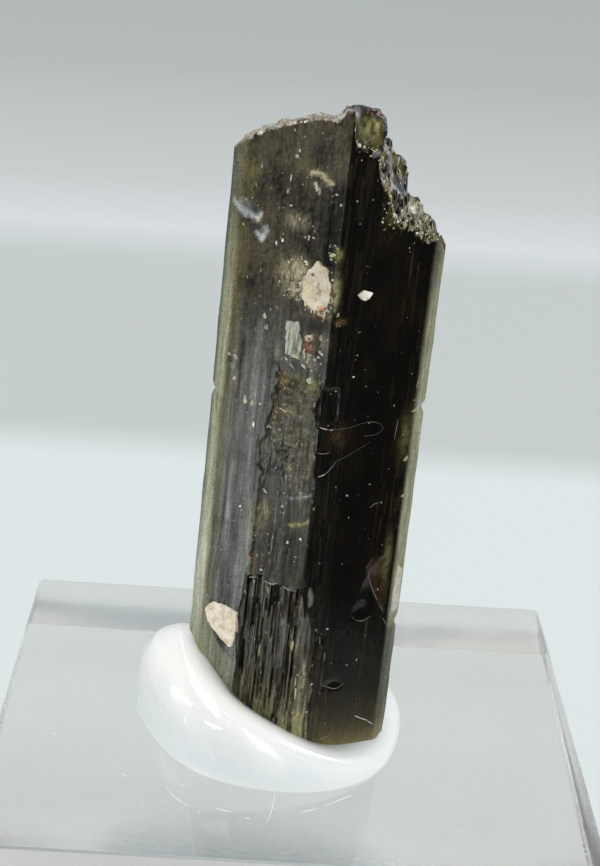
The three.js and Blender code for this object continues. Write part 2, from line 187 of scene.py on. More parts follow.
def bowl(p, h, spot):
    # a shell-shaped pit with a few faint ribs
    place, size, depth, turn = spot
    c, s = math.cos(turn), math.sin(turn)
    across = ((p - place[0]) * c + (h - place[1]) * s) / (size[0] / 2)
    up = (-(p - place[0]) * s + (h - place[1]) * c) / (size[1] / 2)
    reach = across**2 + up**2
    return depth * np.clip(1 - reach, 0, None) + 0.02 * (reach < 1) * np.sin(9 * up + 3 * across)

# The camera of the photograph
view = {
    "place": (-3.300, -98.926, 61.704),
    "turn": (70.444, -3.997, -0.179),
    "lens": 82.09,
    "clip": (0.001, 20),
}

def addCamera():
    bpy.ops.object.camera_add(
        location=[value * mm for value in view["place"]], rotation=[math.radians(a) for a in view["turn"]]
    )
    camera = bpy.context.active_object
    camera.name = "photo_camera"
    camera.data.lens = view["lens"]
    camera.data.clip_start, camera.data.clip_end = view["clip"]
    bpy.context.scene.camera = camera

addCamera()
print("camera set")

# Shader helpers
def newMaterial(name):
    material = bpy.data.materials.new(name)
    material.use_nodes = True
    tree = material.node_tree
    shader = tree.nodes["Principled BSDF"]
    return material, tree, shader

def put(tree, kind, **settings):
    made = tree.nodes.new("ShaderNode" + kind)
    for key, value in settings.items():
        setattr(made, key, value)
    return made

def feed(tree, socket, value):
    if isinstance(value, bpy.types.NodeSocket):
        tree.links.new(value, socket)
    else:
        socket.default_value = value

def sums(tree, operation, *values):
    made = put(tree, "Math", operation=operation)
    for socket, value in zip(made.inputs, values):
        feed(tree, socket, value)
    return made.outputs[0]

def mixed(tree, share, first, second, how="MIX"):
    made = put(tree, "Mix", data_type="RGBA", blend_type=how, clamp_factor=True)
    for index, value in ((0, share), (6, first), (7, second)):
        if isinstance(value, tuple) and len(value) == 3:
            value = (*value, 1)
        feed(tree, made.inputs[index], value)
    return made.outputs[2]

def dress(tree, shader, values):
    for name, value in values.items():
        feed(tree, shader.inputs[name], value)

def scaled(tree, vector, amount):
    made = put(tree, "VectorMath", operation="SCALE")
    tree.links.new(vector, made.inputs[0])
    feed(tree, made.inputs["Scale"], amount)
    return made.outputs[0]

def axes(tree, vector):
    made = put(tree, "SeparateXYZ")
    tree.links.new(vector, made.inputs[0])
    return made.outputs

def painted(tree, name):
    return put(tree, "Attribute", attribute_name=name).outputs["Color"]

def placed(tree, place=(0, 0, 0), turn=(0, 0, 0), unit=(1, 1, 1)):
    # object coordinates in millimetres, in a frame turned and moved like the piece
    where = put(tree, "TexCoord")
    mapping = put(tree, "Mapping", vector_type="TEXTURE")
    mapping.inputs["Location"].default_value = [value * mm for value in place]
    mapping.inputs["Rotation"].default_value = [math.radians(a) for a in turn]
    mapping.inputs["Scale"].default_value = [value * mm for value in unit]
    tree.links.new(where.outputs["Object"], mapping.inputs["Vector"])
    return mapping.outputs["Vector"]

def noise(tree, vector, scale, detail=3, rough=0.5, warp=0.0):
    made = put(tree, "TexNoise")
    feed(tree, made.inputs["Vector"], vector)
    for key, value in (("Scale", scale), ("Detail", detail), ("Roughness", rough), ("Distortion", warp)):
        made.inputs[key].default_value = value
    return made.outputs["Fac"]

def spread(tree, value, low, high, toLow=0.0, toHigh=1.0):
    made = put(tree, "MapRange", clamp=True)
    for socket, amount in zip(made.inputs, (value, low, high, toLow, toHigh)):
        feed(tree, socket, amount)
    return made.outputs[0]

def cells(tree, vector, scale):
    made = put(tree, "TexVoronoi")
    feed(tree, made.inputs["Vector"], vector)
    made.inputs["Scale"].default_value = scale
    return made.outputs["Distance"]

def bumped(tree, height, strength, distance, under=None):
    made = put(tree, "Bump")
    feed(tree, made.inputs["Height"], height)
    made.inputs["Strength"].default_value = strength
    made.inputs["Distance"].default_value = distance * mm
    if under is not None:
        tree.links.new(under, made.inputs["Normal"])
    return made.outputs["Normal"]

def masks(tree, name):
    parts = put(tree, "SeparateColor")
    tree.links.new(painted(tree, name), parts.inputs[0])
    return parts.outputs

# The crystal
crystal = {
    "foot": (-0.5, -3.8, 10.2),
    "lean": 1.9,
    "halfWidth": 5.45,
    "sideFace": 0.3,
    "slope": 0.53,
    "frontRidge": (0.05, -3.25),
    "backRidge": (-0.1, 3.2),
    "leftBevel": -4.75,
    "rightBevel": 4.88,
    "edgeFrom": 4.9,
    "cells": (190, 240),
    "columns": [(0, -5.45), (0.06, -4.75), (0.2, -3.0), (0.63, 1.2), (0.94, 4.88), (1, 5.45)],
    "rows": [(0, 0.4), (0.04, 2.2), (0.26, 11), (0.6, 22.5), (0.8, 29), (1, 35.4)],
}
ridgeP, ridgeQ = crystal["frontRidge"]
slope = crystal["slope"]
brokenTop = {
    "front": [
        (-5.6, 32.0), (-4.9, 32.7), (-4.1, 33.3), (-3.1, 33.8), (-1.6, 34.4), (-0.5, 34.5), (-0.25, 35.0),
        (0.1, 35.05), (0.3, 33.5), (1.1, 33.3), (1.5, 32.8), (1.7, 32.0), (2.2, 31.2), (2.6, 30.0),
        (3.5, 29.3), (5.6, 28.5),
    ],
    "back": [
        (-5.6, 31.6), (-4.2, 32.8), (-1.6, 33.7), (0.0, 33.6), (1.8, 33.15), (2.15, 32.95), (2.35, 32.3),
        (2.5, 32.05), (3.1, 31.75), (3.24, 30.25), (3.6, 29.9), (4.1, 29.75), (5.0, 28.9), (5.6, 28.4),
    ],
    "crestDepth": 3.4,
    "fall": (0.22, 0.8, 1.2),
    "facets": [(0.8, 0.9, 61, 0.62), (0.32, 0.36, 62, 0.26), (0.14, 0.14, 63, 0.06)],
    "cells": (170, 110),
    "size": (12.4, 8.0),
    "above": 40,
}
# where the crystal ends inside the tack, from left to right
footLine = [
    (-6.2, 7.4), (-5.0, 5.6), (-3.5, 3.8), (-1.4, 2.6), (0.6, 1.7), (2.0, 0.9), (3.7, 0.7), (5.0, 0.9),
    (6.2, 2.0),
]
footCut = {"below": [(7, -3), (-7, -3)], "front": -5, "depth": 10}
hollow = {
    "left": -2.95, "top": 10.35, "floor": 0.12, "depth": 0.42,
    "right": [(1, 1.25), (6, 1.05), (11, 0.4)],
}
# where the silky strip ends and the rougher middle begins, as (height, place across)
middleEdge = [
    (0, -2.95), (10.3, -2.62), (14.6, -2.55), (16.0, -2.6), (17.6, -2.9), (18.2, -2.5), (19.0, -2.42),
    (21.2, -2.2), (22.4, -2.5), (24.0, -2.4), (36, -2.4),
]
lens = {"centre": (-1.35, 17.25), "size": (0.75, 0.75), "step": 0.2}
# outlines on the front faces
scars = [
    [
        (-5.18, 29.6), (-4.95, 29.27), (-4.56, 29.03), (-4.12, 28.86), (-3.95, 28.9), (-3.8, 29.25),
        (-3.77, 29.68), (-4.06, 29.5), (-4.43, 29.62), (-4.92, 29.72),
    ],
    [(-3.97, 28.3), (-3.67, 27.95), (-3.42, 28.48), (-3.4, 28.85), (-3.73, 28.59)],
]
glassChip = [
    (-0.3, 10.2), (0.0, 10.45), (0.6, 10.55), (0.8, 10.0), (0.75, 9.6), (0.35, 9.3), (0.0, 9.7),
]
rightChip = [
    (3.39, 11.4), (3.63, 11.75), (4.25, 11.85), (4.64, 10.9), (4.7, 9.3), (4.6, 8.6), (4.16, 9.38),
    (3.68, 10.3),
]
ridgeChip = [
    (-0.12, 21.5), (0.2, 21.4), (0.95, 21.3), (1.0, 19.5), (0.3, 19.2), (-0.15, 19.4), (-0.3, 20.0),
    (-0.2, 20.7),
]
darkCorner = [
    (0.35, 21.87), (-0.1, 21.54), (0.0, 21.3), (-0.21, 20.68), (-0.3, 19.97), (-0.18, 19.48), (-0.12, 18.9),
    (-0.06, 18.35), (0.0, 17.4), (0.04, 16.55), (0.6, 16.5), (0.6, 21.9),
]
# shell-shaped pits: place, size, depth and turn
frontPits = {
    "left": [
        ((-4.45, 29.35), (1.75, 0.8), 0.2, -0.5), ((-3.68, 28.35), (0.75, 0.8), 0.18, 0.9),
        ((0.25, 10.3), (1.1, 1.25), 0.22, 0), ((-4.5, 21.5), (0.65, 0.7), 0.16, 0.3),
        ((-0.85, 31.4), (0.9, 0.5), 0.12, -0.3), ((-2.3, 29.1), (0.6, 0.7), 0.08, 0.2),
    ],
    "right": [
        ((3.4, 8.9), (1.2, 1.0), 0.13, 0.4), ((2.3, 4.7), (1.4, 0.6), 0.16, 0),
        ((3.95, 10.4), (1.3, 2.9), 0.16, -0.25),
    ],
}
backPits = [
    ((-2.4, 24.5), (1.6, 1.1), 0.25, 0.5), ((-3.4, 12.0), (1.0, 1.9), 0.2, 0.2),
    ((2.6, 18.2), (1.5, 1.2), 0.26, -0.4),
]
edgeNicks = {"reach": 0.22, "places": [(-1, 19.75, 0.16), (1, 19.85, 0.18), (1, 7.85, 0.12)]}

def hollowShare(p, h):
    ragged = hollow["top"] + 0.5 * (laths(p, h, 0.3, 50, 71) - 0.5)
    right = along(hollow["right"], h) + 0.25 * (softNoise(h / 0.9, p * 0, 72) - 0.5)
    left = hollow["left"] + 0.25 * (softNoise(h / 1.3, p * 0, 73) - 0.5)
    return step(p, left - 0.02, left + 0.04) * (p < right) * (h < ragged)

def grooves(p, h):
    # from 0 on the laths' crests to 1 at the bottom of the gaps between them
    wide, fine = laths(p, h, 0.13, 2.9, 31), laths(p, h, 0.07, 1.7, 32)
    return np.clip(0.6 * wide + 0.4 * fine + 0.16 * (softNoise(p / 0.1, h / 0.4, 33) - 0.5), 0, 1)

def pastMiddleEdge(p, h):
    # how far to the right of the ragged edge a place lies
    ragged = p + 0.3 * (softNoise(h / 0.35, p / 0.4, 18) - 0.5)
    return ragged + 0.16 * (softNoise(h / 0.12, p / 0.2, 19) - 0.5) - along(middleEdge, h)

def middleShare(p, h):
    return step(pastMiddleEdge(p, h), -0.04, 0.04) * (1 - step(h, 21.5, 22.5)) * step(h, 10.2, 10.5)

def lensRings(p, h):
    # the wavy growth steps inside the window, from 0 to 1 and back, and how clear they are
    place, size = lens["centre"], lens["size"]
    wave = h + 0.16 * np.sin(3.1 * (p - place[0])) + 0.22 * softNoise(p / 0.5, h / 0.5, 16)
    return 0.5 + 0.5 * np.sin(2 * math.pi * wave / lens["step"]), blob(p, h, place, size)

def frontRelief(p, h):
    # how far the left and the right front face lie behind their flat planes
    middle, rings = middleShare(p, h), lensRings(p, h)
    upper = step(h, 22, 26)
    fine = 0.03 * laths(p, h, 0.19, 2.6, 11) + 0.018 * laths(p, h, 0.08, 1.1, 12)
    broad = 0.05 * softNoise(p / 0.55, h / 9, 13) + 0.02 * softNoise(p / 0.25, h / 5, 14)
    grainy = 0.026 * softNoise(p / 0.12, h / 0.18, 15) * (0.25 + 0.9 * middle + 0.9 * upper)
    left = (0.75 + 0.4 * middle - 0.55 * upper) * fine + broad * (1 - 0.5 * upper) + grainy + 0.05 * middle
    window = middle * between(h, 16.0, 21.6, 0.3)
    left = left + window * (0.035 * rings[0] * rings[1] + 0.03 * softNoise(p / 0.8, h / 0.1, 24))
    right = 0.6 * (0.02 * laths(p, h, 0.23, 4.0, 21) + 0.012 * laths(p, h, 0.1, 2.0, 22))
    right = right + 0.03 * softNoise(p / 0.8, h / 12, 23)
    right = right + 0.07 * laths(p, h, 0.13, 1.8, 34) * between(p, 0.3, 1.7, 0.2) * (1 - step(h, 7, 11))
    left = np.where(hollowShare(p, h) > 0.5, hollow["floor"] + hollow["depth"] * grooves(p, h) ** 1.5, left)
    left = left * (1 - 0.95 * inside(darkCorner, p, h))
    # the crust round the upper grain stands a little proud
    for centre, size, share in haloSpots[:4]:
        left = left - 0.06 * share * blob(p, h, centre, size) * softNoise(p / 0.12, h / 0.16, 26)
    chip = 0.16 * softInside(ridgeChip, p, h, 0.12)
    left, right = left + chip, right + chip
    for spot in frontPits["left"]:
        left = left + bowl(p, h, spot)
    for spot in frontPits["right"]:
        right = right + bowl(p, h, spot)
    return left, right

def frontSurface(p, h):
    left, right = frontRelief(p, h)
    faces = np.maximum(ridgeQ - slope * (p - ridgeP) + left, ridgeQ + slope * (p - ridgeP) + right)
    for side, at in ((-1, crystal["leftBevel"]), (1, crystal["rightBevel"])):
        end = side * crystal["halfWidth"]
        start = ridgeQ + slope * abs(at - ridgeP)
        bevel = start * (end - p) / (end - at) + 0.02 * softNoise(p / 0.3, h / 6, 41)
        faces = np.where((p - at) * side > 0, np.maximum(faces, bevel), faces)
    return faces

def backSurface(p, h):
    backP, backQ = crystal["backRidge"]
    run = np.where(p < backP, crystal["halfWidth"] + backP, crystal["halfWidth"] - backP)
    face = backQ - (backQ - crystal["sideFace"]) * abs(p - backP) / run
    relief = 0.05 * laths(p, h, 0.33, 5, 51) + 0.03 * laths(p, h, 0.12, 2, 52)
    relief = relief + 0.08 * softNoise(p / 0.7, h / 9, 53) + 0.16 * (chips(p / 2.1, h / 5.5, 54, 0.2) > 0.72)
    for spot in backPits:
        relief = relief + bowl(p, h, spot)
    return face - relief * step(crystal["halfWidth"] - abs(p), 0, 0.3)

def crestBehind(p):
    # how far behind the front face the broken top is highest
    return np.maximum(brokenTop["crestDepth"] - slope * p, 0.3)

def topSurface(p, q):
    fall, fromFace, fromMiddle = brokenTop["fall"]
    behind = np.clip(q - (ridgeQ + slope * abs(p - ridgeP)), 0, None)
    front, back = along(brokenTop["front"], p), along(brokenTop["back"], p)
    leftTop = front - fall * np.clip(behind - fromFace, 0, None)
    rise = step(behind, 0.1, crestBehind(p))
    rightTop = front * (1 - rise) + back * rise - fall * np.clip(q - fromMiddle, 0, None)
    hackly = np.zeros(np.shape(p))
    for wide, deep, seed, height in brokenTop["facets"]:
        hackly = hackly + height * (chips(p / wide, q / deep, seed, 1.1) - 0.5)
    return np.where(p < ridgeP, leftTop + 0.35 * hackly, rightTop + hackly)

def faceAt(p, h):
    return float(frontSurface(np.array([p]), np.array([h]))[0])

def topAt(p, q):
    return float(topSurface(np.array([p]), np.array([q]))[0])

def addGrid(name, across, up, width, length):
    deselect()
    bpy.ops.mesh.primitive_grid_add(x_subdivisions=across, y_subdivisions=up, size=1)
    piece = added(name)
    points = readPoints(piece)
    writePoints(piece, points * (width, length, 0))
    return piece

def pullOut(piece, by):
    # the sheet gets a second side, and walls between the two
    pick(piece)
    bpy.ops.object.mode_set(mode="EDIT")
    bpy.ops.mesh.select_all(action="SELECT")
    bpy.ops.mesh.extrude_region_move(TRANSFORM_OT_translate={"value": by})
    bpy.ops.object.mode_set(mode="OBJECT")

def shapedBody():
    body = addGrid("crystal", *crystal["cells"], 1, 1)
    pullOut(body, (0, 0, 1))
    points = readPoints(body)
    p = along(crystal["columns"], points[:, 0] + 0.5)
    h = along(crystal["rows"], points[:, 1] + 0.5)
    q = np.where(points[:, 2] > 0.5, frontSurface(p, h), backSurface(p, h))
    edge = step(abs(p), crystal["edgeFrom"], crystal["halfWidth"])
    for side, height, depth in edgeNicks["places"]:
        nick = depth * np.exp(-(((h - height) / edgeNicks["reach"]) ** 2)) * (np.sign(p) == side)
        p = p - side * nick * edge
    p = p - 0.05 * np.sign(p) * edge * softNoise(h / 1.3, p * 0, 42)
    writePoints(body, np.column_stack([p, q, h]))
    outwardNormals(body)
    return body

def topCutter():
    cutter = addGrid("top_cutter", *brokenTop["cells"], *brokenTop["size"])
    pullOut(cutter, (0, 0, 1))
    points = readPoints(cutter)
    broken = topSurface(points[:, 0], points[:, 1])
    points[:, 2] = np.where(points[:, 2] > 0.5, brokenTop["above"], broken)
    writePoints(cutter, points)
    outwardNormals(cutter)
    return cutter

def footCutter():
    deselect()
    outline = footLine + footCut["below"]
    bpy.ops.mesh.primitive_circle_add(vertices=len(outline), radius=1, fill_type="NGON")
    cutter = added("foot_cutter")
    writePoints(cutter, np.array([(p, footCut["front"], h) for p, h in outline]))
    pullOut(cutter, (0, footCut["depth"], 0))
    outwardNormals(cutter)
    return cutter

knobShape = {
    "outline": [
        (-0.3, 33.0), (-0.4, 34.4), (-0.1, 34.95), (0.6, 35.05), (1.4, 34.95), (1.7, 34.5), (1.75, 33.9),
        (1.55, 33.2), (1.2, 32.6),
    ],
    "front": -2.45,
    "depth": 1.5,
    "rounding": 0.3,
    "voxel": 0.05,
    "dents": 0.08,
    "shrink": 0.03,
}

def addKnob():
    deselect()
    outline = knobShape["outline"]
    bpy.ops.mesh.primitive_circle_add(vertices=len(outline), radius=1, fill_type="NGON")
    lump = added("knob")
    writePoints(lump, np.array([(p, knobShape["front"], h) for p, h in outline]))
    pullOut(lump, (0, knobShape["depth"], 0))
    outwardNormals(lump)
    useModifier(lump, "BEVEL", width=knobShape["rounding"], segments=3, limit_method="ANGLE")
    useModifier(lump, "REMESH", mode="VOXEL", voxel_size=knobShape["voxel"])
    points = readPoints(lump)
    away = points - points.mean(axis=0)
    away /= np.linalg.norm(away, axis=1)[:, None]
    p, q, h = points.T
    broad, fine = chips(p / 0.5 + q / 0.7, h / 0.55, 81, 1.2), chips(p / 0.2, h / 0.22 + q / 0.3, 82)
    dents = 1.5 * (broad - 0.5) + 0.6 * (fine - 0.5)
    outward = away * (knobShape["dents"] * dents)[:, None] - away * knobShape["shrink"]
    writePoints(lump, points + outward)
    return lump

def paint(piece, name, channels):
    colours = np.ones((len(piece.data.vertices), 4))
    for index, channel in enumerate(channels):
        colours[:, index] = np.clip(channel, 0, 1)
    layer = piece.data.color_attributes.new(name, "FLOAT_COLOR", "POINT")
    layer.data.foreach_set("color", colours.ravel())

# The crystal's colours. The greens and browns stand for light that its thin places let through, and the silky
# grey, the steel grey and the pale blue are painted sheen, highlights and reflections
shades = {
    "body": (0.0035, 0.003, 0.0026), "silk": (0.162, 0.172, 0.166),
    "olive": (0.088, 0.078, 0.056), "smoke": (0.06, 0.059, 0.046),
    "umber": (0.052, 0.047, 0.031), "brown": (0.095, 0.06, 0.03),
    "amber": (0.17, 0.1, 0.03), "yellowGreen": (0.24, 0.25, 0.09),
    "bandGreen": (0.28, 0.29, 0.2), "edgeGreen": (0.22, 0.23, 0.155),
    "edgeOlive": (0.13, 0.122, 0.05), "rim": (0.055, 0.075, 0.07),
    "halo": (0.4, 0.37, 0.235), "rust": (0.2, 0.085, 0.04),
    "glow": (0.105, 0.085, 0.036), "pale": (0.58, 0.56, 0.49),
    "slate": (0.05, 0.062, 0.09), "steel": (0.17, 0.185, 0.2),
    "shell": (0.38, 0.41, 0.44), "lath": (0.15, 0.15, 0.128),
    "knobGreen": (0.27, 0.275, 0.12),
}
# patches of pale crust: centre, size and strength
haloSpots = [
    ((-1.75, 26.9), (0.42, 0.5), 1.0), ((-2.25, 26.6), (0.45, 0.7), 0.55), ((-1.8, 25.9), (0.4, 0.45), 0.7),
    ((0.08, 26.2), (0.2, 0.75), 0.5), ((-2.3, 22.6), (0.2, 0.3), 0.3), ((-1.2, 31.75), (0.32, 0.1), 0.8),
    ((-2.0, 29.3), (0.55, 0.4), 0.3), ((0.65, 5.6), (0.14, 0.9), 0.5), ((0.1, 7.3), (0.1, 0.5), 0.4),
    ((0.2, 3.1), (0.7, 0.4), 0.3), ((-0.45, 23.6), (0.4, 0.35), 0.25),
]
# tinted patches, given in the same way
tintSpots = {
    "amber": [
        ((-1.85, 21.15), (0.28, 0.4), 0.75), ((-1.8, 19.6), (0.4, 0.12), 0.8),
        ((-0.6, 24.9), (0.35, 0.13), 0.9), ((0.5, 24.7), (0.25, 0.12), 0.7), ((-2.4, 11.3), (0.08, 0.7), 0.8),
        ((-0.25, 17.9), (0.1, 0.3), 0.5),
    ],
    "brown": [
        ((-1.0, 20.2), (0.5, 0.5), 0.5), ((-2.2, 14.0), (0.35, 0.7), 0.6), ((-0.6, 17.0), (0.4, 0.8), 0.4),
        ((-1.2, 4.2), (0.6, 1.2), 0.4), ((1.1, 18.7), (0.4, 0.5), 0.35),
    ],
    "yellowGreen": [
        ((-0.6, 21.4), (0.35, 0.26), 0.8), ((0.05, 28.1), (0.2, 0.3), 0.8),
        ((-1.15, 16.7), (0.16, 0.22), 0.5), ((-2.05, 14.1), (0.09, 0.5), 0.8),
        ((-0.45, 15.3), (0.09, 0.4), 0.5), ((0.7, 5.2), (0.12, 0.9), 0.6), ((0.1, 26.3), (0.15, 0.6), 0.35),
        ((-2.55, 13.6), (0.22, 0.7), 0.3),
    ],
    "edgeOlive": [
        ((-4.55, 31.2), (0.45, 1.3), 0.75), ((-4.95, 29.9), (0.25, 0.4), 0.8),
        ((4.6, 18.5), (0.35, 1.1), 0.5), ((4.42, 11.7), (0.16, 1.1), 1.0), ((-2.45, 13.8), (0.4, 0.9), 0.6),
        ((-2.0, 31.9), (0.4, 0.4), 0.3),
    ],
}
# painted shade: the near-black ground round the grains
grainShadeSpots = [
    ((-0.7, 24.25), (0.65, 0.5), 0.8), ((-1.3, 22.1), (0.6, 0.3), 0.75), ((-0.35, 23.2), (0.35, 0.9), 0.65),
    ((-2.25, 23.3), (0.12, 0.9), 0.4), ((-0.2, 27.55), (0.3, 0.3), 0.6), ((-1.1, 27.6), (0.4, 0.25), 0.5),
    ((-1.7, 25.1), (0.4, 0.3), 0.5), ((0.0, 22.3), (0.25, 0.5), 0.5),
]
# lines on the left face: shade, width, strength and course
drawnLines = [
    (
        "body", 0.06, 0.9,
        [(-2.2, 21.3), (-2.15, 20.2), (-2.45, 19.2), (-2.3, 18.2), (-2.35, 17.4), (-2.3, 16.4)],
    ),
    ("body", 0.06, 0.9, [(-2.9, 18.0), (-2.95, 17.2), (-2.8, 16.0), (-2.85, 15.0)]),
    ("body", 0.05, 0.8, [(-2.5, 14.6), (-2.3, 15.4), (-2.4, 16.0)]),
    ("body", 0.12, 0.7, [(-0.45, 31.2), (-0.7, 31.35), (-1.1, 31.3)]),
    ("halo", 0.08, 1.3, [(-1.61, 31.75), (-1.34, 31.83), (-1.04, 31.72), (-0.83, 31.55), (-0.59, 31.46)]),
    # a painted highlight on a small chip
    ("pale", 0.06, 1.2, [(-1.42, 31.25), (-1.3, 31.08), (-1.19, 30.86)]),
    ("yellowGreen", 0.06, 0.9, [(-0.9, 13.75), (-0.4, 13.88), (-0.05, 14.1), (0.12, 14.4)]),
    ("bandGreen", 0.08, 0.5, [(-2.95, 14.5), (-2.85, 12.6), (-2.75, 10.6)]),
    ("edgeGreen", 0.05, 0.6, [(-2.1, 18.0), (-1.7, 18.12), (-1.2, 17.95), (-0.7, 18.1)]),
    ("edgeGreen", 0.06, 0.5, [(-1.7, 19.6), (-1.2, 19.7), (-0.9, 19.55)]),
    # a painted highlight line
    ("steel", 0.05, 0.8, [(-1.0, 15.15), (-0.5, 15.32), (0.0, 15.6)]),
    ("halo", 0.06, 0.7, [(0.65, 6.0), (0.72, 5.4), (0.75, 4.8)]),
    ("halo", 0.05, 0.6, [(0.38, 3.5), (0.45, 2.85)]),
]

def sharedLayers(piece):
    # what the painters share: places, faces, zones and uneven textures, and lay, which adds a thin coat
    p, q, h = readPoints(piece).T
    tone = np.tile(np.array(shades["body"]), (len(p), 1))

    def lay(share, shade):
        share = np.clip(share, 0, 1)[:, None]
        tone[:] = tone * (1 - share) + np.array(shades[shade]) * share

    front = 1 - step(q, 0.0, 0.3)
    onLeft = front * (p < ridgeP)
    cut = hollowShare(p, h) * front
    middle = middleShare(p, h)
    crust = np.zeros(len(p))
    for centre, size, share in haloSpots:
        crust = np.maximum(crust, share * front * np.clip(1.4 * blob(p, h, centre, size), 0, 1))
    return {
        "lay": lay,
        "tone": tone,
        "p": p,
        "q": q,
        "h": h,
        "front": front,
        "onLeft": onLeft,
        "onRight": front * (p >= ridgeP),
        "cut": cut,
        "flat": onLeft * (1 - cut),
        "middle": middle,
        "window": middle * onLeft * between(h, 16.2, 21.6, 0.4),
        "upper": step(h, 21.5, 26.5),
        "crust": crust,
        "streak": softNoise(p / 0.17, h / 7, 111),
        "hair": laths(p, h, 0.075, 1.1, 112),
        "mottle": softNoise(p / 0.5, h / 0.8, 114),
        "patch": softNoise(p / 1.1, h / 1.7, 119),
        "crumb": softNoise(p / 0.1, h / 0.17, 115),
        "dapple": softNoise(p / 0.2, h / 0.33, 118),
        "wobble": 0.12 * (softNoise(h / 0.2, p / 0.3, 74) - 0.5),
    }

def paintLeftFace(
    lay, p, h, onLeft, flat, middle, window, upper, streak, hair, mottle, patch, crumb, dapple, **others
):
    # a silky strip with a painted grey sheen, a duller middle with its banded window, and the olive upper
    # part
    rings = lensRings(p, h)
    # painted sheen: the silky strip is painted grey as if it reflected the bright room, a little brighter
    # from 17.5 to 21.5 high
    silk = flat * (1 - middle) * (1 - 0.85 * upper) * step(p, -4.85, -4.5)
    uneven = 0.5 + 0.9 * (streak - 0.5) + 0.4 * (hair - 0.5) + 0.3 * (mottle - 0.5)
    lay(silk * (uneven + 0.1 * between(h, 17.5, 21.5, 1.5)), "silk")
    uneven = 0.25 + 0.5 * (patch - 0.5) + 0.3 * (crumb - 0.5)
    lay(flat * (1 - middle) * step(h, 14, 19) * (1 - upper) * uneven, "umber")
    uneven = 0.46 + 0.25 * (mottle - 0.5) + 0.3 * (dapple - 0.5) + 0.3 * (crumb - 0.5)
    uneven = uneven + 0.15 * (hair - 0.5) + 0.7 * (patch - 0.5)
    for centre, size in (((-0.8, 30), (1.1, 1.2)), ((-0.9, 28.6), (1.1, 1.1))):
        uneven = uneven - 0.35 * blob(p, h, centre, size)
    lay(flat * upper * uneven, "olive")
    lay(flat * upper * step(crumb, 0.7, 0.8) * 0.12, "edgeOlive")
    lay(flat * upper * (1 - step(crumb, 0.15, 0.25)) * 0.3, "body")
    uneven = 0.42 + 0.13 * step(h, 12.8, 14) + 0.7 * (streak - 0.5) + 0.3 * (hair - 0.5)
    lay(flat * middle * (uneven + 0.4 * (crumb - 0.5)), "smoke")
    bands = softNoise(p / 0.6, h / 0.16, 116)
    lay(window * (0.75 + 0.5 * (bands - 0.5) + 0.5 * (mottle - 0.5)), "umber")
    lay(window * rings[1] * (1 - rings[0]), "body")
    lay(window * step(softNoise(p / 0.35, h / 0.3, 120), 0.55, 0.8) * 0.55, "body")
    lay(onLeft * middle * blob(p, h, (-1.95, 16.6), (0.5, 0.3)) * 0.8, "body")
    border = np.exp(-(((pastMiddleEdge(p, h) - 0.03) / 0.06) ** 2)) * between(h, 10.4, 21.8, 0.3)
    lay(flat * border * (0.5 + 0.8 * (dapple - 0.3)), "body")
    lay(onLeft * inside(darkCorner, p, h) * 0.95, "body")
    lay(onLeft * middle * blob(p, h, (-1.8, 16.3), (0.4, 0.35)) * 0.6, "body")

def paintLeftMarks(lay, p, h, front, onLeft, flat, mottle, crumb, dapple, wobble, **others):
    # tints, lines with some painted highlights, painted shade round the grains and a painted sheen on the
    # glass chip, each at its own place
    for shade, spots in tintSpots.items():
        for centre, size, share in spots:
            lay(front * share * blob(p, h, centre, size) * (0.5 + 1.0 * (crumb - 0.5) + 0.3 * mottle), shade)
    for shade, width, share, line in drawnLines:
        lay(onLeft * share * nearLine(p + wobble, h + wobble, line, width * (0.6 + 0.8 * dapple)), shade)
    # painted shade round the grains
    for centre, size, share in grainShadeSpots:
        lay(flat * share * blob(p, h, centre, size), "body")
    # a painted sheen on the glass-clear chip
    lay(front * softInside(glassChip, p, h, 0.06) * (0.3 + 0.3 * step(p, 0.1, 0.5)), "silk")

def paintHollow(lay, p, h, cut, hair, dapple, **others):
    # the hollow's laths: painted light and shade by depth, with grey crests and black gaps, greener towards
    # the foot
    crest = 1 - grooves(p, h)
    lay(cut, "body")
    lay(cut * np.clip(1.5 * (crest - 0.16), 0, 1) * (0.55 + 0.6 * (hair - 0.5)), "lath")
    lay(cut * (1 - step(h, 2.5, 6.5)) * crest * (0.2 + hair), "edgeOlive")
    lay(cut * (1 - step(h, 2.0, 5.5)) * between(p, 0.2, 1.0, 0.3) * crest * (hair > 0.6) * 0.4, "halo")
    lay(cut * (1 - step(h, 2.2, 3.6)) * np.clip(crest + dapple - 0.7, 0, 1), "yellowGreen")
    lay(cut * (dapple > 0.62) * step(h, 3, 5) * 0.22, "brown")

def paintRightFace(lay, p, h, onRight, streak, hair, mottle, patch, **others):
    # the right face: almost black, with brown hairs by the ridge and a green glow at its foot
    lay(onRight * 0.16 * (hair > 0.55) * (1 - step(p, 0.4, 2.2)) * streak, "smoke")
    hairs = np.clip(hair + streak - 1.25, 0, 1) * 0.25
    lay(onRight * between(p, 3.7, 4.8, 0.3) * between(h, 4, 27, 2) * hairs, "glow")
    lay(onRight * np.clip(2 * patch - 0.9, 0, 1) * 0.05 * hair, "glow")
    hairs = np.clip(1.6 * hair - 0.8, 0, 1) * 0.35 * mottle
    lay(onRight * between(p, 0.5, 1.9, 0.3) * (1 - step(h, 6, 9)) * hairs, "glow")
    aboveFoot = np.clip(h - 0.9, 0, None)
    lay(onRight * np.exp(-aboveFoot / 0.9) * step(p, 0.8, 1.8) * (0.65 + 0.5 * mottle), "glow")
    lay(onRight * np.exp(-aboveFoot / 0.5) * step(p, 1.0, 2.2), "edgeOlive")

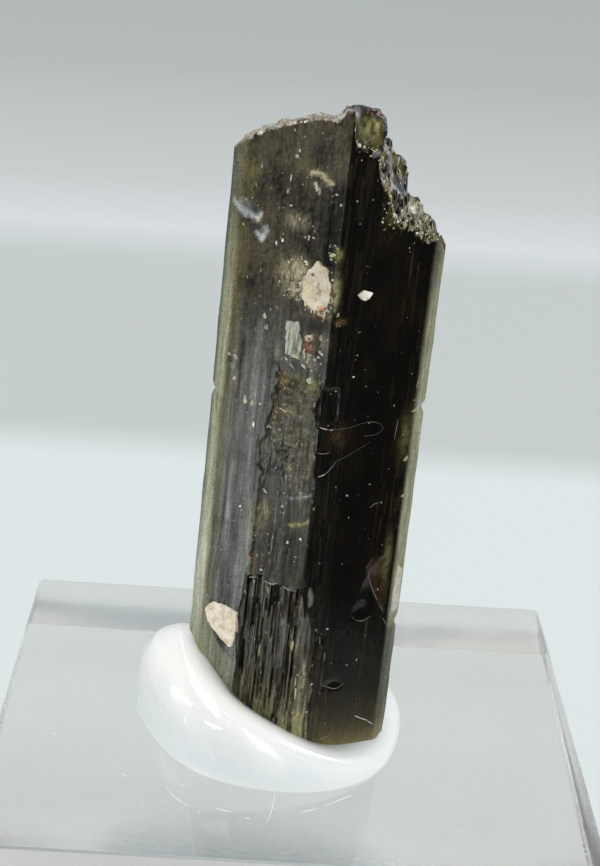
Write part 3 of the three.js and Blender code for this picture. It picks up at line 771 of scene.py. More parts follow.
def paintThinEdges(lay, p, q, h, front, streak, hair, mottle, **others):
    # painted green where the real crystal is thin enough for light to pass
    wander = 0.3 * (softNoise(h / 2.3, p * 0, 91) - 0.5)
    rough = 0.75 + 0.5 * (streak - 0.5) + 0.4 * (hair - 0.5)
    lay(front * (1 - step(p, -4.75 + wander, -4.1)) * 0.75 * rough * (1 - step(h, 27, 30)), "edgeOlive")
    high = step(h, 24, 30)
    lay(front * (1 - step(p, -4.95 + wander, -4.7)) * (1 - 0.75 * high) * rough, "bandGreen")
    lay(front * (1 - step(p, -5.4, -5.2)) * 0.8, "rim")
    corner = along([(-5.5, 10.5), (-4.75, 8.9), (-4.23, 6.6), (-3.62, 5.8), (-2.82, 5.3), (-2.7, 3)], p)
    lay((1 - step(h, corner - 0.1, corner + 0.05)) * (p < -2.9) * front * 0.62, "edgeGreen")
    lit = 0.25 + 0.75 * step(h, 7.3, 8.2)
    lay(step(p, 4.76, 4.98) * (0.3 + 0.7 * (1 - high)) * rough * lit * (0.65 + 0.3 * mottle), "edgeGreen")
    lay(step(p, 5.15, 5.3) * (1 - front * 0.2) * 0.7 * (0.4 + hair) * lit, "edgeGreen")
    lay((1 - front) * step(abs(p), 4.3, 5.2) * 0.7 * rough, "edgeGreen")
    # a painted sheen in streaks along the back
    lay((1 - front) * (0.35 + 0.9 * (streak - 0.5) + 0.4 * (hair - 0.5)) * step(q, 0.3, 0.8) * 0.5, "silk")

def paintCrust(lay, p, h, onRight, crumb, dapple, crust, **others):
    # pale crust round the grains, and the brown chip on the right face
    lay(crust * np.clip(1.5 * crumb + 0.6 * dapple - 0.4, 0, 1), "halo")
    lay(onRight * inside(rightChip, p, h) * (0.03 + 0.2 * crumb), "brown")
    lay(onRight * nearLine(p, h, rightChip[5:] + rightChip[:2], 0.06) * 0.3, "smoke")

def paintScars(lay, p, h, onLeft, **others):
    # the two shell-shaped scars: dark hollows, with a painted slate-blue reflection towards their lower rims,
    # painted highlights along those rims and a pale painted highlight at their right ends
    sheen = softNoise(p / 0.45, h / 0.4, 117)
    for outline, size in zip(scars, (1.0, 0.55)):
        within = onLeft * softInside(outline, p, h, 0.06)
        lay(within * 0.75, "rim")
        lay(within * 1.2 * nearLine(p, h, outline[:5], 0.3 * size), "steel")
        lay(within * nearLine(p, h, outline[:5], 0.17 * size) * (0.35 + 0.8 * sheen), "shell")
        lay(onLeft * nearLine(p, h, outline[:3], 0.08) * (0.4 + 0.7 * sheen), "shell")
        lay(onLeft * nearLine(p, h, outline[4:6], 0.08) * 0.7, "pale")
    lay(onLeft * blob(p, h, (-4.1, 29.35), (0.14, 0.16)) * 0.9, "body")

def paintBrokenTop(lay, p, q, h, onLeft, onRight, mottle, crumb, **others):
    # the broken top: black glassy facets, with painted highlights on some of them (steel-grey facets, white
    # glints and bright lines), the left part painted pale where it faces up to the light, and a pale
    # crumbling front edge
    behind = q - (ridgeQ + slope * abs(p - ridgeP))
    below = h - topSurface(p, q)
    broken = step(below, -0.06, -0.01) * (h > 28)
    slanted = p + 0.4 * q
    facet, small = chips(slanted / 0.42, h / 0.5, 64, 0), chips(slanted / 0.2, h / 0.24, 65, 0)
    tiny = chips(slanted / 0.1, (h + 0.3 * q) / 0.11, 63, 0)
    lay(broken, "body")
    lay(broken * (facet < 0.4) * 0.3, "brown")
    # painted highlights: some facets painted steel grey
    lay(broken * (facet > 0.85) * 0.7, "steel")
    lay(broken * (small > 0.78) * 0.9, "glow")
    lay(broken * (small < 0.14) * 0.8, "edgeOlive")
    # painted highlights: white glints on the smallest chips
    lay(broken * (tiny > 0.93), "pale")
    lay(broken * blob(p, h, (2.85, 31.05), (0.3, 0.35)) * 1.3, "slate")
    # a painted reflection on one facet
    lay(broken * blob(p, h, (1.85, 32.7), (0.22, 0.4)) * (tiny > 0.72), "shell")
    edgeCrust = broken * (1 - step(behind, 0.2, 0.6)) * (0.3 + 0.7 * step(p, 2.2, 3.2)) * (p > 0)
    lay(edgeCrust * (tiny > 0.6) * (0.2 + 0.4 * small), "halo")
    lay(edgeCrust * (small < 0.3) * 0.7, "edgeOlive")
    lay(broken * blob(p, h, (3.6, 30.1), (0.4, 0.3)) * (tiny > 0.3), "pale")
    lay(broken * blob(p, h, (4.4, 29.5), (0.5, 0.3)) * (tiny > 0.45), "halo")
    # a painted highlight along a crest edge
    lay(broken * nearLine(p, h, [(2.2, 31.4), (2.8, 30.75), (3.3, 30.5)], 0.05) * 1.2, "shell")
    # painted light: the left part, which faces up, is painted pale as if lit from above
    lay(broken * (p < 0) * (0.5 + 0.6 * (tiny - 0.5)), "pale")
    topEdge = along(brokenTop["front"], p)
    lay(onLeft * between(topEdge - h, 0.02, 0.12, 0.06) * 0.6 * (mottle > 0.4), "brown")
    rightLip = between(h, topEdge - 0.16, topEdge, 0.05) * (abs(p - 3.15) < 1.75)
    lay(onRight * rightLip * (crumb > 0.5) * 0.6, "halo")
    lay(onRight * blob(p, h, (2.6, 30.2), (0.5, 0.9)) * np.clip(2.4 * crumb - 0.9, 0, 1) * 0.5, "edgeOlive")

def paintKnob(lay, p, q, h, crumb, dapple, wobble, **others):
    # the small green knob on the broken top
    knob = between(p, -0.35, 1.8, 0.05) * step(h, 33.1, 33.5) * between(q, -2.65, -0.8, 0.1)
    lay(knob, "body")
    lay(knob * blob(p, h, (0.9, 33.9), (0.7, 0.8)) * 0.7, "edgeOlive")
    patchy = np.clip(2.2 * dapple - 0.45, 0, 1) * (0.5 + 0.6 * crumb)
    lay(knob * 1.3 * blob(p, h, (1.0, 34.15), (0.55, 0.55)) * patchy, "knobGreen")
    lay(knob * blob(p, h, (1.15, 33.5), (0.4, 0.5)) * patchy, "glow")
    lay(knob * blob(p, h, (0.85, 33.2), (0.35, 0.4)) * (crumb > 0.5) * 0.7, "brown")
    lay(knob * step(h, 34.6, 34.85) * 0.9, "body")
    lay(knob * step(p, 1.5, 1.62) * 0.8, "body")
    lay(knob * blob(p, h, (-0.15, 34.3), (0.16, 0.55)) * 0.7, "bandGreen")
    lay(knob * nearLine(p + wobble, h, [(0.3, 34.5), (0.55, 33.9), (1.0, 33.0)], 0.09) * 0.6, "edgeGreen")
    # a painted highlight near the knob's top
    lay(knob * blob(p, h, (0.22, 34.75), (0.14, 0.2)), "shell")
    lay(knob * step(h, 34.7, 34.9) * (crumb > 0.6) * 0.6, "rust")

def finishShares(front, onLeft, onRight, cut, flat, middle, window, upper, crust, **others):
    # how silky, how banded and how flecked each place is
    silky = np.clip(flat * (1 - 0.5 * middle - 0.4 * window) + 0.4 * (1 - front), 0, 1)
    silky = np.clip(silky * (1 - 0.85 * upper) + 0.9 * cut, 0, 1)
    flecked = np.clip(0.8 * crust + 0.2 * onLeft * (1 + 0.2 * upper) + 0.1 * onRight, 0, 1)
    return silky, window, flecked

def crystalPaint(piece):
    coat = sharedLayers(piece)
    painters = (
        paintLeftFace, paintLeftMarks, paintHollow, paintRightFace, paintThinEdges, paintCrust, paintScars,
        paintBrokenTop, paintKnob,
    )
    for painter in painters:
        painter(**coat)
    paint(piece, "tone", coat["tone"].T)
    paint(piece, "finish", finishShares(**coat))

def addCrystal():
    body = shapedBody()
    cutWith(body, topCutter())
    cutWith(body, footCutter())
    cutWith(body, addKnob(), "UNION")
    crystalPaint(body)
    smoothTo(body, 32)
    settle(body, crystal["foot"], crystal["lean"])
    return body

def onAxis(tree, unit=(1, 1, 1)):
    return placed(tree, crystal["foot"], (0, crystal["lean"], 0), unit)

crystalLook = {
    "warmer": (1.06, 1.0, 0.9),
    "bands": ((0.4, 0.42, 0.42), (1.45, 1.5, 1.2)),
    "flecks": [(3.4, 1.7, 0.2), (7.0, 2.6, 0.26)],  # how dense, how patchy and how wide they are
    "fleckColour": (0.33, 0.32, 0.26),
    "ior": 1.63,
    "shine": 0.19,
}

def crystalMaterial():
    material, tree, shader = newMaterial("dark_green_crystal")
    where = onAxis(tree)
    drawn = onAxis(tree, (1, 1, 22))
    silky, banded, flecked = masks(tree, "finish")[:3]
    hairs = noise(tree, drawn, 15, 3, 0.65)
    streaks = noise(tree, drawn, 5.5, 4, 0.62)
    mottle = noise(tree, where, 2.6, 5, 0.65)
    grain = noise(tree, where, 11, 3, 0.7)
    # fine upright hairs darken and lighten the painted tone
    thin = spread(tree, hairs, 0.33, 0.66, 0.68, 1.32)
    drag = sums(tree, "MULTIPLY", thin, spread(tree, streaks, 0.3, 0.7, 0.7, 1.25))
    share = sums(tree, "MULTIPLY_ADD", silky, 0.8, 0.2)
    drag = sums(tree, "MULTIPLY_ADD", sums(tree, "SUBTRACT", drag, 1.0), share, 1.0)
    speckled = sums(tree, "MULTIPLY", drag, spread(tree, grain, 0.3, 0.7, 0.55, 1.5))
    colour = scaled(tree, painted(tree, "tone"), speckled)
    # browner and greener by turns, and banded across inside the window
    hue = spread(tree, noise(tree, where, 1.7, 4, 0.7), 0.4, 0.6)
    hue = sums(tree, "MULTIPLY", hue, spread(tree, silky, 0, 1, 1, 0.25))
    colour = mixed(tree, hue, colour, crystalLook["warmer"], "MULTIPLY")
    bands = noise(tree, onAxis(tree, (1.3, 1.3, 0.5)), 2.2, 5, 0.75, 1.2)
    dulled = mixed(tree, spread(tree, bands, 0.36, 0.64), *crystalLook["bands"])
    colour = mixed(tree, banded, colour, dulled, "MULTIPLY")
    # small pale flecks, drawn out a little along the axis
    for size, patches, widest in crystalLook["flecks"]:
        dots = spread(tree, cells(tree, onAxis(tree, (1, 1, 1.7)), size), widest, widest - 0.08)
        chosen = sums(tree, "MULTIPLY_ADD", flecked, 0.3, noise(tree, where, patches, 3))
        share = sums(tree, "MULTIPLY", dots, spread(tree, chosen, 0.69, 0.73))
        colour = mixed(tree, share, colour, crystalLook["fleckColour"])
    normal = bumped(tree, streaks, 0.35, 0.04)
    normal = bumped(tree, hairs, 0.35, 0.02, normal)
    silkyRoughness = sums(tree, "MULTIPLY", silky, 0.16)
    dress(tree, shader, {
        "Base Color": colour,
        "Roughness": sums(tree, "ADD", spread(tree, mottle, 0.3, 0.7, 0.08, 0.2), silkyRoughness),
        "IOR": crystalLook["ior"],
        "Specular IOR Level": crystalLook["shine"],
        "Normal": bumped(tree, grain, 0.3, 0.02, normal),
    })
    return material

finishPiece(addCrystal(), "dark_green_crystal", "richterite_crystal", material=crystalMaterial())

# The grains keep the CAD nodes' forms, broken up into small cleavage chips
grainVoxel = 0.035
grains = {
    "calcite_grain_upper": {
        "slot": "pink_white_calcite", "colour": (0.57, 0.52, 0.45),
        "dark": (0.44, 0.37, 0.24), "chip": 0.13,
    },
    "calcite_grain_middle": {
        "slot": "grey_green_calcite", "colour": (0.37, 0.38, 0.31),
        "dark": (0.07, 0.08, 0.055), "chip": 0.07, "drawn": True,
        "longer": 1.15, "slant": 0.07, "flare": (0.72, 0.62),
    },
    "stained_grain": {
        "slot": "iron_stained_calcite", "colour": (0.06, 0.036, 0.014),
        "dark": (0.015, 0.01, 0.008), "chip": 0.2, "sunk": 0.07,
    },
    "calcite_speck": {
        "slot": "white_calcite", "colour": (0.72, 0.68, 0.62),
        "dark": (0.5, 0.46, 0.4), "chip": 0.03,
    },
    "calcite_grain_lower_left": {
        "slot": "pink_white_calcite", "colour": (0.72, 0.64, 0.53),
        "dark": (0.5, 0.43, 0.31), "chip": 0.05,
    },
    "calcite_grain_right_edge": {
        "slot": "grey_green_calcite", "colour": (0.38, 0.38, 0.33),
        "dark": (0.24, 0.24, 0.19), "chip": 0.02,
    },
}

def addGrain(name, chip, seed, sunk=0, longer=1, slant=0, flare=(1, 0)):
    deselect()
    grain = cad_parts[name].copy()
    grain.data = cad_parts[name].data.copy()
    grain.name = name + "_surface"
    grain.parent = None
    for key in list(grain.keys()):
        del grain[key]
    bpy.context.scene.collection.objects.link(grain)
    pick(grain)
    bpy.ops.object.mode_set(mode="EDIT")
    bpy.ops.mesh.select_all(action="SELECT")
    bpy.ops.mesh.remove_doubles(threshold=1e-7)
    bpy.ops.transform.resize(value=(1 / mm, 1 / mm, 1 / mm), center_override=(0, 0, 0))
    bpy.ops.object.mode_set(mode="OBJECT")
    useModifier(grain, "REMESH", mode="VOXEL", voxel_size=grainVoxel)
    points = readPoints(grain)
    x, y, z = points.T
    away = points - points.mean(axis=0)
    away /= np.linalg.norm(away, axis=1)[:, None]
    dents = chips(x / 0.3 + y / 0.5, z / 0.35, seed, 1.0) - 0.6
    dents = dents + 0.5 * (chips(x / 0.12, z / 0.14 + y / 0.2, seed + 1) - 0.5)
    points = points + away * (chip * dents)[:, None]
    below = points[:, 2].max() - points[:, 2]
    # a leaning or flaring grain slides along the left face, not into it
    middle = points[:, 0].mean()
    shift = slant * below + (points[:, 0] - middle) * (flare[0] + flare[1] * below - 1)
    writePoints(grain, points + np.column_stack([shift, sunk - slope * shift, (1 - longer) * below]))
    smoothTo(grain, 25)
    settle(grain)
    return grain

def onCrystal(p, q, h):
    # a place in the crystal's frame, in the whole frame's millimetres
    lean = math.radians(crystal["lean"])
    x = p * math.cos(lean) + h * math.sin(lean) + crystal["foot"][0]
    z = -p * math.sin(lean) + h * math.cos(lean) + crystal["foot"][2]
    return x, q + crystal["foot"][1], z

def grainMaterial(name, grain, stains):
    material, tree, shader = newMaterial(name)
    where, colour, dark = placed(tree), grain["colour"], grain["dark"]
    patches = noise(tree, where, 2.4, 4, 0.6)
    if grain.get("drawn"):
        patches = noise(tree, placed(tree, turn=(0, 6, 0), unit=(0.35, 0.35, 3)), 2.4, 3, 0.5)
    body = mixed(tree, spread(tree, patches, 0.38, 0.6), dark, colour)
    fine = noise(tree, where, 9, 3, 0.6)
    body = mixed(tree, spread(tree, fine, 0.45, 0.75, 0, 0.5), body, tuple(min(1, c * 1.25) for c in colour))
    for place, size, stain in stains:
        near = put(tree, "VectorMath", operation="DISTANCE")
        tree.links.new(where, near.inputs[0])
        near.inputs[1].default_value = onCrystal(*place)
        away = sums(tree, "MULTIPLY_ADD", fine, size * 1.2, near.outputs["Value"])
        body = mixed(tree, spread(tree, away, size * 2.0, size * 1.1), body, stain)
    dress(tree, shader, {
        "Base Color": body,
        "Roughness": spread(tree, patches, 0.3, 0.7, 0.35, 0.6),
        "Normal": bumped(tree, noise(tree, where, 25, 2), 0.3, 0.015, bumped(tree, fine, 0.4, 0.03)),
    })
    return material

# stains on the grains: place in the crystal's frame, radius and colour
grainStains = {
    "calcite_grain_upper": [
        ((-1.35, -2.7, 25.95), 0.34, (0.6, 0.5, 0.32)), ((-1.0, -2.85, 25.35), 0.34, (0.62, 0.54, 0.38)),
        ((-0.12, -3.2, 26.0), 0.2, (0.58, 0.52, 0.36)), ((-1.05, -2.8, 26.9), 0.1, (0.14, 0.045, 0.03)),
        ((-0.45, -3.1, 25.25), 0.2, (0.55, 0.2, 0.09)),
    ],
    "stained_grain": [
        ((-0.85, -2.8, 23.3), 0.26, (0.19, 0.08, 0.034)), ((-0.95, -2.8, 23.75), 0.2, (0.6, 0.5, 0.36)),
        ((-0.35, -3.1, 23.35), 0.34, (0.02, 0.015, 0.014)), ((-0.85, -2.8, 22.7), 0.2, (0.42, 0.4, 0.2)),
    ],
    "calcite_grain_middle": [((-1.45, -2.5, 22.35), 0.3, (0.6, 0.56, 0.4))],
}

for index, (name, grain) in enumerate(grains.items()):
    form = {key: grain[key] for key in ("sunk", "longer", "slant", "flare") if key in grain}
    surface = addGrain(name, grain["chip"], 101 + 2 * index, **form)
    look = grainMaterial(name + "_finish", grain, grainStains.get(name, []))
    finishPiece(surface, grain["slot"], name, material=look)

# Crumbs of calcite and small bright chips, scattered on the crystal's faces and round its grains
crumbs = {
    "white_crumbs": {
        "slot": "white_calcite",
        "shades": [(0.66, 0.66, 0.62), (0.42, 0.44, 0.45), (0.26, 0.26, 0.23)],
        "left": [
            (-4.2, 33.1, 0.1, 0.19), (-2.62, 33.6, 0.1, 0.14), (-4.0, 31.57, 0.1, 0.24),
            (-2.28, 32.67, 0.09, 0.28), (-2.4, 32.4, 0.14, 0.19), (-2.57, 31.3, 0.06, 0.4),
            (-2.65, 30.6, 0.1, 0.24), (-0.34, 30.96, 0.12, 0.1), (-0.1, 30.5, 0.14, 0.12),
            (-2.44, 29.97, 0.14, 0.1), (-2.65, 28.2, 0.1, 0.24), (-2.96, 27.94, 0.1, 0.2),
            (-2.15, 21.5, 0.1, 0.15), (-3.52, 21.1, 0.07, 0.15), (-3.17, 18.5, 0.1, 0.31),
            (-3.43, 14.0, 0.1, 0.16), (-3.31, 13.8, 0.1, 0.2), (-1.31, 14.64, 0.12, 0.13),
            (-2.54, 12.62, 0.1, 0.13), (-1.73, 11.92, 0.07, 0.16), (-2.3, 11.57, 0.1, 0.22),
            (-2.04, 10.87, 0.15, 0.1), (-0.87, 12.8, 0.12, 0.27), (-0.24, 13.15, 0.12, 0.1),
            (-0.4, 12.14, 0.12, 0.1), (-2.28, 15.18, 0.25, 0.1), (-1.3, 15.35, 0.1, 0.1),
            (-1.86, 18.6, 0.15, 0.1), (-2.07, 19.46, 0.2, 0.1), (-1.9, 22.34, 0.29, 0.08),
            (-1.63, 22.05, 0.34, 0.08), (-1.06, 22.2, 0.29, 0.1),
        ],
        "right": [
            (0.69, 21.1, 0.1, 0.11), (1.49, 21.84, 0.15, 0.1), (0.71, 19.12, 0.15, 0.11),
            (3.0, 16.0, 0.1, 0.1), (1.88, 15.47, 0.13, 0.13), (3.72, 14.9, 0.11, 0.11),
            (1.21, 4.92, 0.13, 0.15), (1.08, 8.1, 0.1, 0.17), (1.69, 8.07, 0.1, 0.12),
            (0.24, 14.95, 0.1, 0.2), (2.79, 29.7, 0.2, 0.2), (2.6, 32.2, 0.2, 0.16),
        ],
        "strewn": [
            ("left", 9, (-4.6, -0.1), (25, 33.6), (0.03, 0.07)),
            ("left", 14, (-4.4, -0.2), (11, 24), (0.03, 0.06)),
            ("right", 6, (0.4, 4.6), (3, 28), (0.03, 0.05)),
            ("left", 20, (-4.6, -0.4), (34.3, 36), (0.07, 0.16)),
            ("right", 9, (1.6, 5.0), (30, 36), (0.06, 0.15)),
        ],
        "onTop": [(9, (1.4, 3.2), (0.05, 0.14)), (14, (3.0, 5.0), (0.06, 0.18))],
    },
    "cream_crumbs": {
        "slot": "pink_white_calcite",
        "shades": [(0.6, 0.56, 0.42), (0.42, 0.38, 0.25), (0.34, 0.33, 0.27)],
        "left": [
            (-3.34, 19.6, 0.2, 0.47), (-3.24, 20.1, 0.07, 0.31), (-3.72, 19.7, 0.18, 0.45),
            (-2.95, 19.7, 0.18, 0.15), (-2.8, 20.6, 0.15, 0.15), (-4.37, 20.67, 0.25, 0.2),
            (-3.16, 24.2, 0.19, 0.35), (-3.0, 23.65, 0.2, 0.3), (-4.7, 21.84, 0.25, 0.15),
            (-4.4, 21.8, 0.3, 0.2), (-2.34, 18.6, 0.29, 0.1), (-1.43, 28.65, 0.1, 0.1),
            (-1.2, 28.64, 0.14, 0.1), (-2.6, 24.8, 0.14, 0.1), (-2.76, 9.4, 0.3, 0.14),
            (-1.45, 27.4, 0.19, 0.2), (-1.16, 31.0, 0.14, 0.29), (-1.79, 19.65, 0.34, 0.08),
            (-1.38, 25.55, 0.12, 0.3), (-1.26, 25.38, 0.1, 0.3), (-1.1, 25.22, 0.12, 0.3),
            (-0.95, 25.12, 0.1, 0.28), (-0.8, 25.05, 0.12, 0.3), (-0.6, 25.05, 0.12, 0.26),
            (-1.0, 23.6, 0.3, 0.16), (-0.75, 23.62, 0.25, 0.14), (-1.01, 22.22, 0.14, 0.16),
            (-0.52, 22.65, 0.16, 0.14), (-0.38, 22.82, 0.16, 0.14), (-0.2, 23.02, 0.16, 0.14),
        ],
        "right": [
            (4.85, 19.8, 0.3, 0.16), (4.75, 17.2, 0.2, 0.28), (4.85, 15.15, 0.25, 0.17),
            (0.45, 33.4, 0.2, 0.2),
        ],
        "onTop": [(22, (3.1, 5.1), (0.07, 0.2))],
        "strewn": [
            ("left", 60, (-2.35, -1.35), (25.3, 27.5), (0.04, 0.11)),
            ("left", 20, (-1.75, -1.3), (25.4, 27.2), (0.1, 0.22)),
            ("left", 14, (-0.35, 0.0), (25, 27.6), (0.05, 0.12)),
            ("left", 16, (-1.1, -0.2), (21.9, 23.9), (0.07, 0.2)),
            ("right", 14, (3.0, 5.0), (30, 36), (0.07, 0.17)),
            ("right", 9, (0.6, 3.0), (30, 36), (0.06, 0.13)),
            ("left", 26, (-4.9, -0.4), (34.3, 36), (0.07, 0.17)),
            ("left", 16, (-1.5, -0.1), (24.95, 25.5), (0.06, 0.16)),
        ],
    },
    "rusty_crumbs": {
        "slot": "iron_stained_calcite",
        "shades": [
            (0.2, 0.1, 0.05), (0.1, 0.04, 0.025), (0.4, 0.32, 0.2), (0.05, 0.03, 0.02), (0.16, 0.11, 0.05),
        ],
        "left": [
            (-1.06, 23.24, 0.22, 0.34), (-0.86, 23.19, 0.26, 0.34), (-0.7, 23.08, 0.22, 0.3),
            (-0.98, 22.95, 0.22, 0.3), (-0.57, 22.24, 0.18, 0.24), (-0.41, 24.94, 0.2, 0.3),
            (-0.35, 24.75, 0.12, 0.25), (-0.6, 22.9, 0.2, 0.26), (-0.45, 25.2, 0.3, 0.14),
            (-0.2, 25.3, 0.2, 0.14), (-1.35, 27.0, 0.08, 0.12),
        ],
        "right": [(0.62, 24.7, 0.2, 0.25), (0.5, 24.5, 0.14, 0.14)],
        "strewn": [
            ("left", 16, (-1.1, -0.1), (22.1, 23.9), (0.06, 0.2)),
            ("left", 10, (-1.0, -0.1), (25.0, 25.4), (0.05, 0.14)),
            ("left", 8, (-4.5, -0.8), (34, 36), (0.05, 0.1)), ("right", 8, (3, 5), (31, 36), (0.05, 0.14)),
        ],
    },
    "olive_chips": {
        "slot": "grey_green_calcite",
        "shades": [(0.3, 0.31, 0.14), (0.17, 0.175, 0.08), (0.4, 0.4, 0.28)],
        "left": [
            (-1.23, 31.68, 0.4, 0.17), (-0.97, 31.5, 0.25, 0.17), (-0.2, 28.05, 0.2, 0.3),
            (-0.65, 21.5, 0.3, 0.25), (-0.8, 20.93, 0.2, 0.3), (-0.05, 7.3, 0.12, 0.5),
            (-1.69, 6.2, 0.1, 0.75), (-1.57, 9.76, 0.1, 0.42), (-0.5, 15.56, 0.14, 0.25),
            (-0.82, 22.6, 0.18, 0.34), (-0.79, 22.35, 0.14, 0.26), (-0.02, 25.0, 0.16, 0.16),
            (-2.3, 6.6, 0.07, 0.3), (-1.2, 9.6, 0.06, 0.34), (-0.1, 6.5, 0.07, 0.4), (0.35, 4.6, 0.14, 0.8),
            (0.3, 5.2, 0.1, 0.5), (0.05, 3.3, 0.1, 0.6), (-0.6, 4.2, 0.06, 0.4), (-1.5, 5.2, 0.06, 0.36),
        ],
        "right": [
            (0.14, 25.33, 0.14, 0.25), (0.34, 25.08, 0.12, 0.28), (0.35, 24.55, 0.1, 0.26),
            (0.52, 24.68, 0.16, 0.1), (1.5, 6.9, 0.05, 0.6), (1.7, 6.5, 0.05, 0.5), (1.35, 7.4, 0.05, 0.5),
            (0.66, 5.9, 0.14, 0.75), (0.72, 4.96, 0.12, 0.6), (4.87, 21.3, 0.09, 1.0),
        ],
        "strewn": [
            ("right", 24, (2.0, 3.2), (29.2, 31.6), (0.06, 0.15)),
            ("left", 14, (-0.4, 0.0), (27.7, 28.5), (0.05, 0.12)),
            ("right", 10, (0.35, 1.6), (32.7, 33.5), (0.06, 0.13)),
        ],
        "onTop": [(14, (1.4, 4.8), (0.08, 0.2))],
    },
    "dark_shards": {
        "slot": "dark_green_crystal", "rough": (0.08, 0.25),
        "shades": [
            (0.01, 0.009, 0.007), (0.012, 0.011, 0.009), (0.035, 0.03, 0.016), (0.085, 0.093, 0.1),
            (0.06, 0.055, 0.02),
        ],
        "left": [(-1.75, 9.7, 0.3, 0.2)], "right": [(0.75, 33.2, 0.4, 0.3), (1.2, 33.0, 0.4, 0.4)],
        "strewn": [("right", 10, (1.4, 4.9), (30, 36), (0.1, 0.25))],
        "onTop": [(44, (1.3, 3.4), (0.08, 0.34)), (22, (3.4, 5.0), (0.08, 0.28))],
    },
}

crumbShape = {
    "radius": 0.6,
    "uneven": (0.45, 1.35),
    "brightness": (0.6, 1.1),
    "shadedOnDarkFace": 0.6,
}

def crumbSpots(crumb, rng):
    # side, place across, place up, width and length; on the top, up is the share of the way to the crest
    spots = [(side, *spot) for side in ("left", "right") for spot in crumb[side]]
    for side, count, across, up, (small, large) in crumb["strewn"]:
        for _ in range(count):
            size = rng.uniform(small, large)
            spots.append((side, rng.uniform(*across), rng.uniform(*up), size, size * rng.uniform(0.7, 1.7)))
    for count, across, (small, large) in crumb.get("onTop", []):
        for _ in range(count):
            size = rng.uniform(small, large)
            p, share = rng.uniform(*across), rng.uniform(0.03, 1)
            spots.append(("top", p, share, size, size * rng.uniform(0.6, 2.6)))
    return spots

def addCrumbs(name, crumb, seed):
    # one faceted crumb is modelled, and its copies are turned, squashed and pressed into the faces
    deselect()
    bpy.ops.mesh.primitive_ico_sphere_add(subdivisions=1, radius=crumbShape["radius"])
    first = added(name)
    shape = readPoints(first)
    rng = np.random.default_rng(seed)
    copies = []
    for side, p, h, width, length in crumbSpots(crumb, rng):
        lean = slope * {"left": -1, "right": 1, "top": 0}[side]
        if side == "top":
            depth, width, length = width, 0.65 * width, 1.3 * length
            base = ridgeQ + slope * (p - ridgeP) + h * crestBehind(p)
            h = topAt(p, base) - 0.12 * length
        else:
            depth = 0.55 * min(width, length)
            h = min(h, float(along(brokenTop["front"], p)) - 0.05)
            base = faceAt(p, h)
        turn = rng.uniform(-0.9, 0.9) if length < 1.6 * width else rng.uniform(-0.12, 0.12)
        c, s = math.cos(turn), math.sin(turn)
        uneven = rng.uniform(*crumbShape["uneven"], (len(shape), 1))
        x, y, z = (shape * uneven * (width, depth, length)).T
        x, z = x * c - z * s, x * s + z * c
        copy = first.copy()
        copy.data = first.data.copy()
        bpy.context.scene.collection.objects.link(copy)
        writePoints(copy, np.column_stack([p + x, base + 0.1 * depth + y + lean * x, h + z]))
        shade = np.array(crumb["shades"][rng.integers(len(crumb["shades"]))])
        shade = shade * rng.uniform(*crumbShape["brightness"])
        # painted shade: crumbs low on the dark right face are painted darker, as they catch less light
        if side == "right" and h < 28:
            shade = shade * crumbShape["shadedOnDarkFace"]
        paint(copy, "tone", shade)
        copies.append(copy)
    bpy.data.objects.remove(first)
    piece = joined(name, copies)
    settle(piece, crystal["foot"], crystal["lean"])
    return piece

def crumbMaterial(name, rough):
    material, tree, shader = newMaterial(name)
    where = placed(tree)
    worn = spread(tree, noise(tree, where, 9, 2), 0.35, 0.65, 0.7, 1.2)
    dress(tree, shader, {
        "Base Color": scaled(tree, painted(tree, "tone"), worn),
        "Roughness": spread(tree, noise(tree, where, 5, 2), 0.3, 0.7, *rough),
    })
    return material

for index, (name, crumb) in enumerate(crumbs.items()):
    look = crumbMaterial(name + "_finish", crumb.get("rough", (0.25, 0.6)))
    finishPiece(addCrumbs(name, crumb, 301 + index), crumb["slot"], material=look)
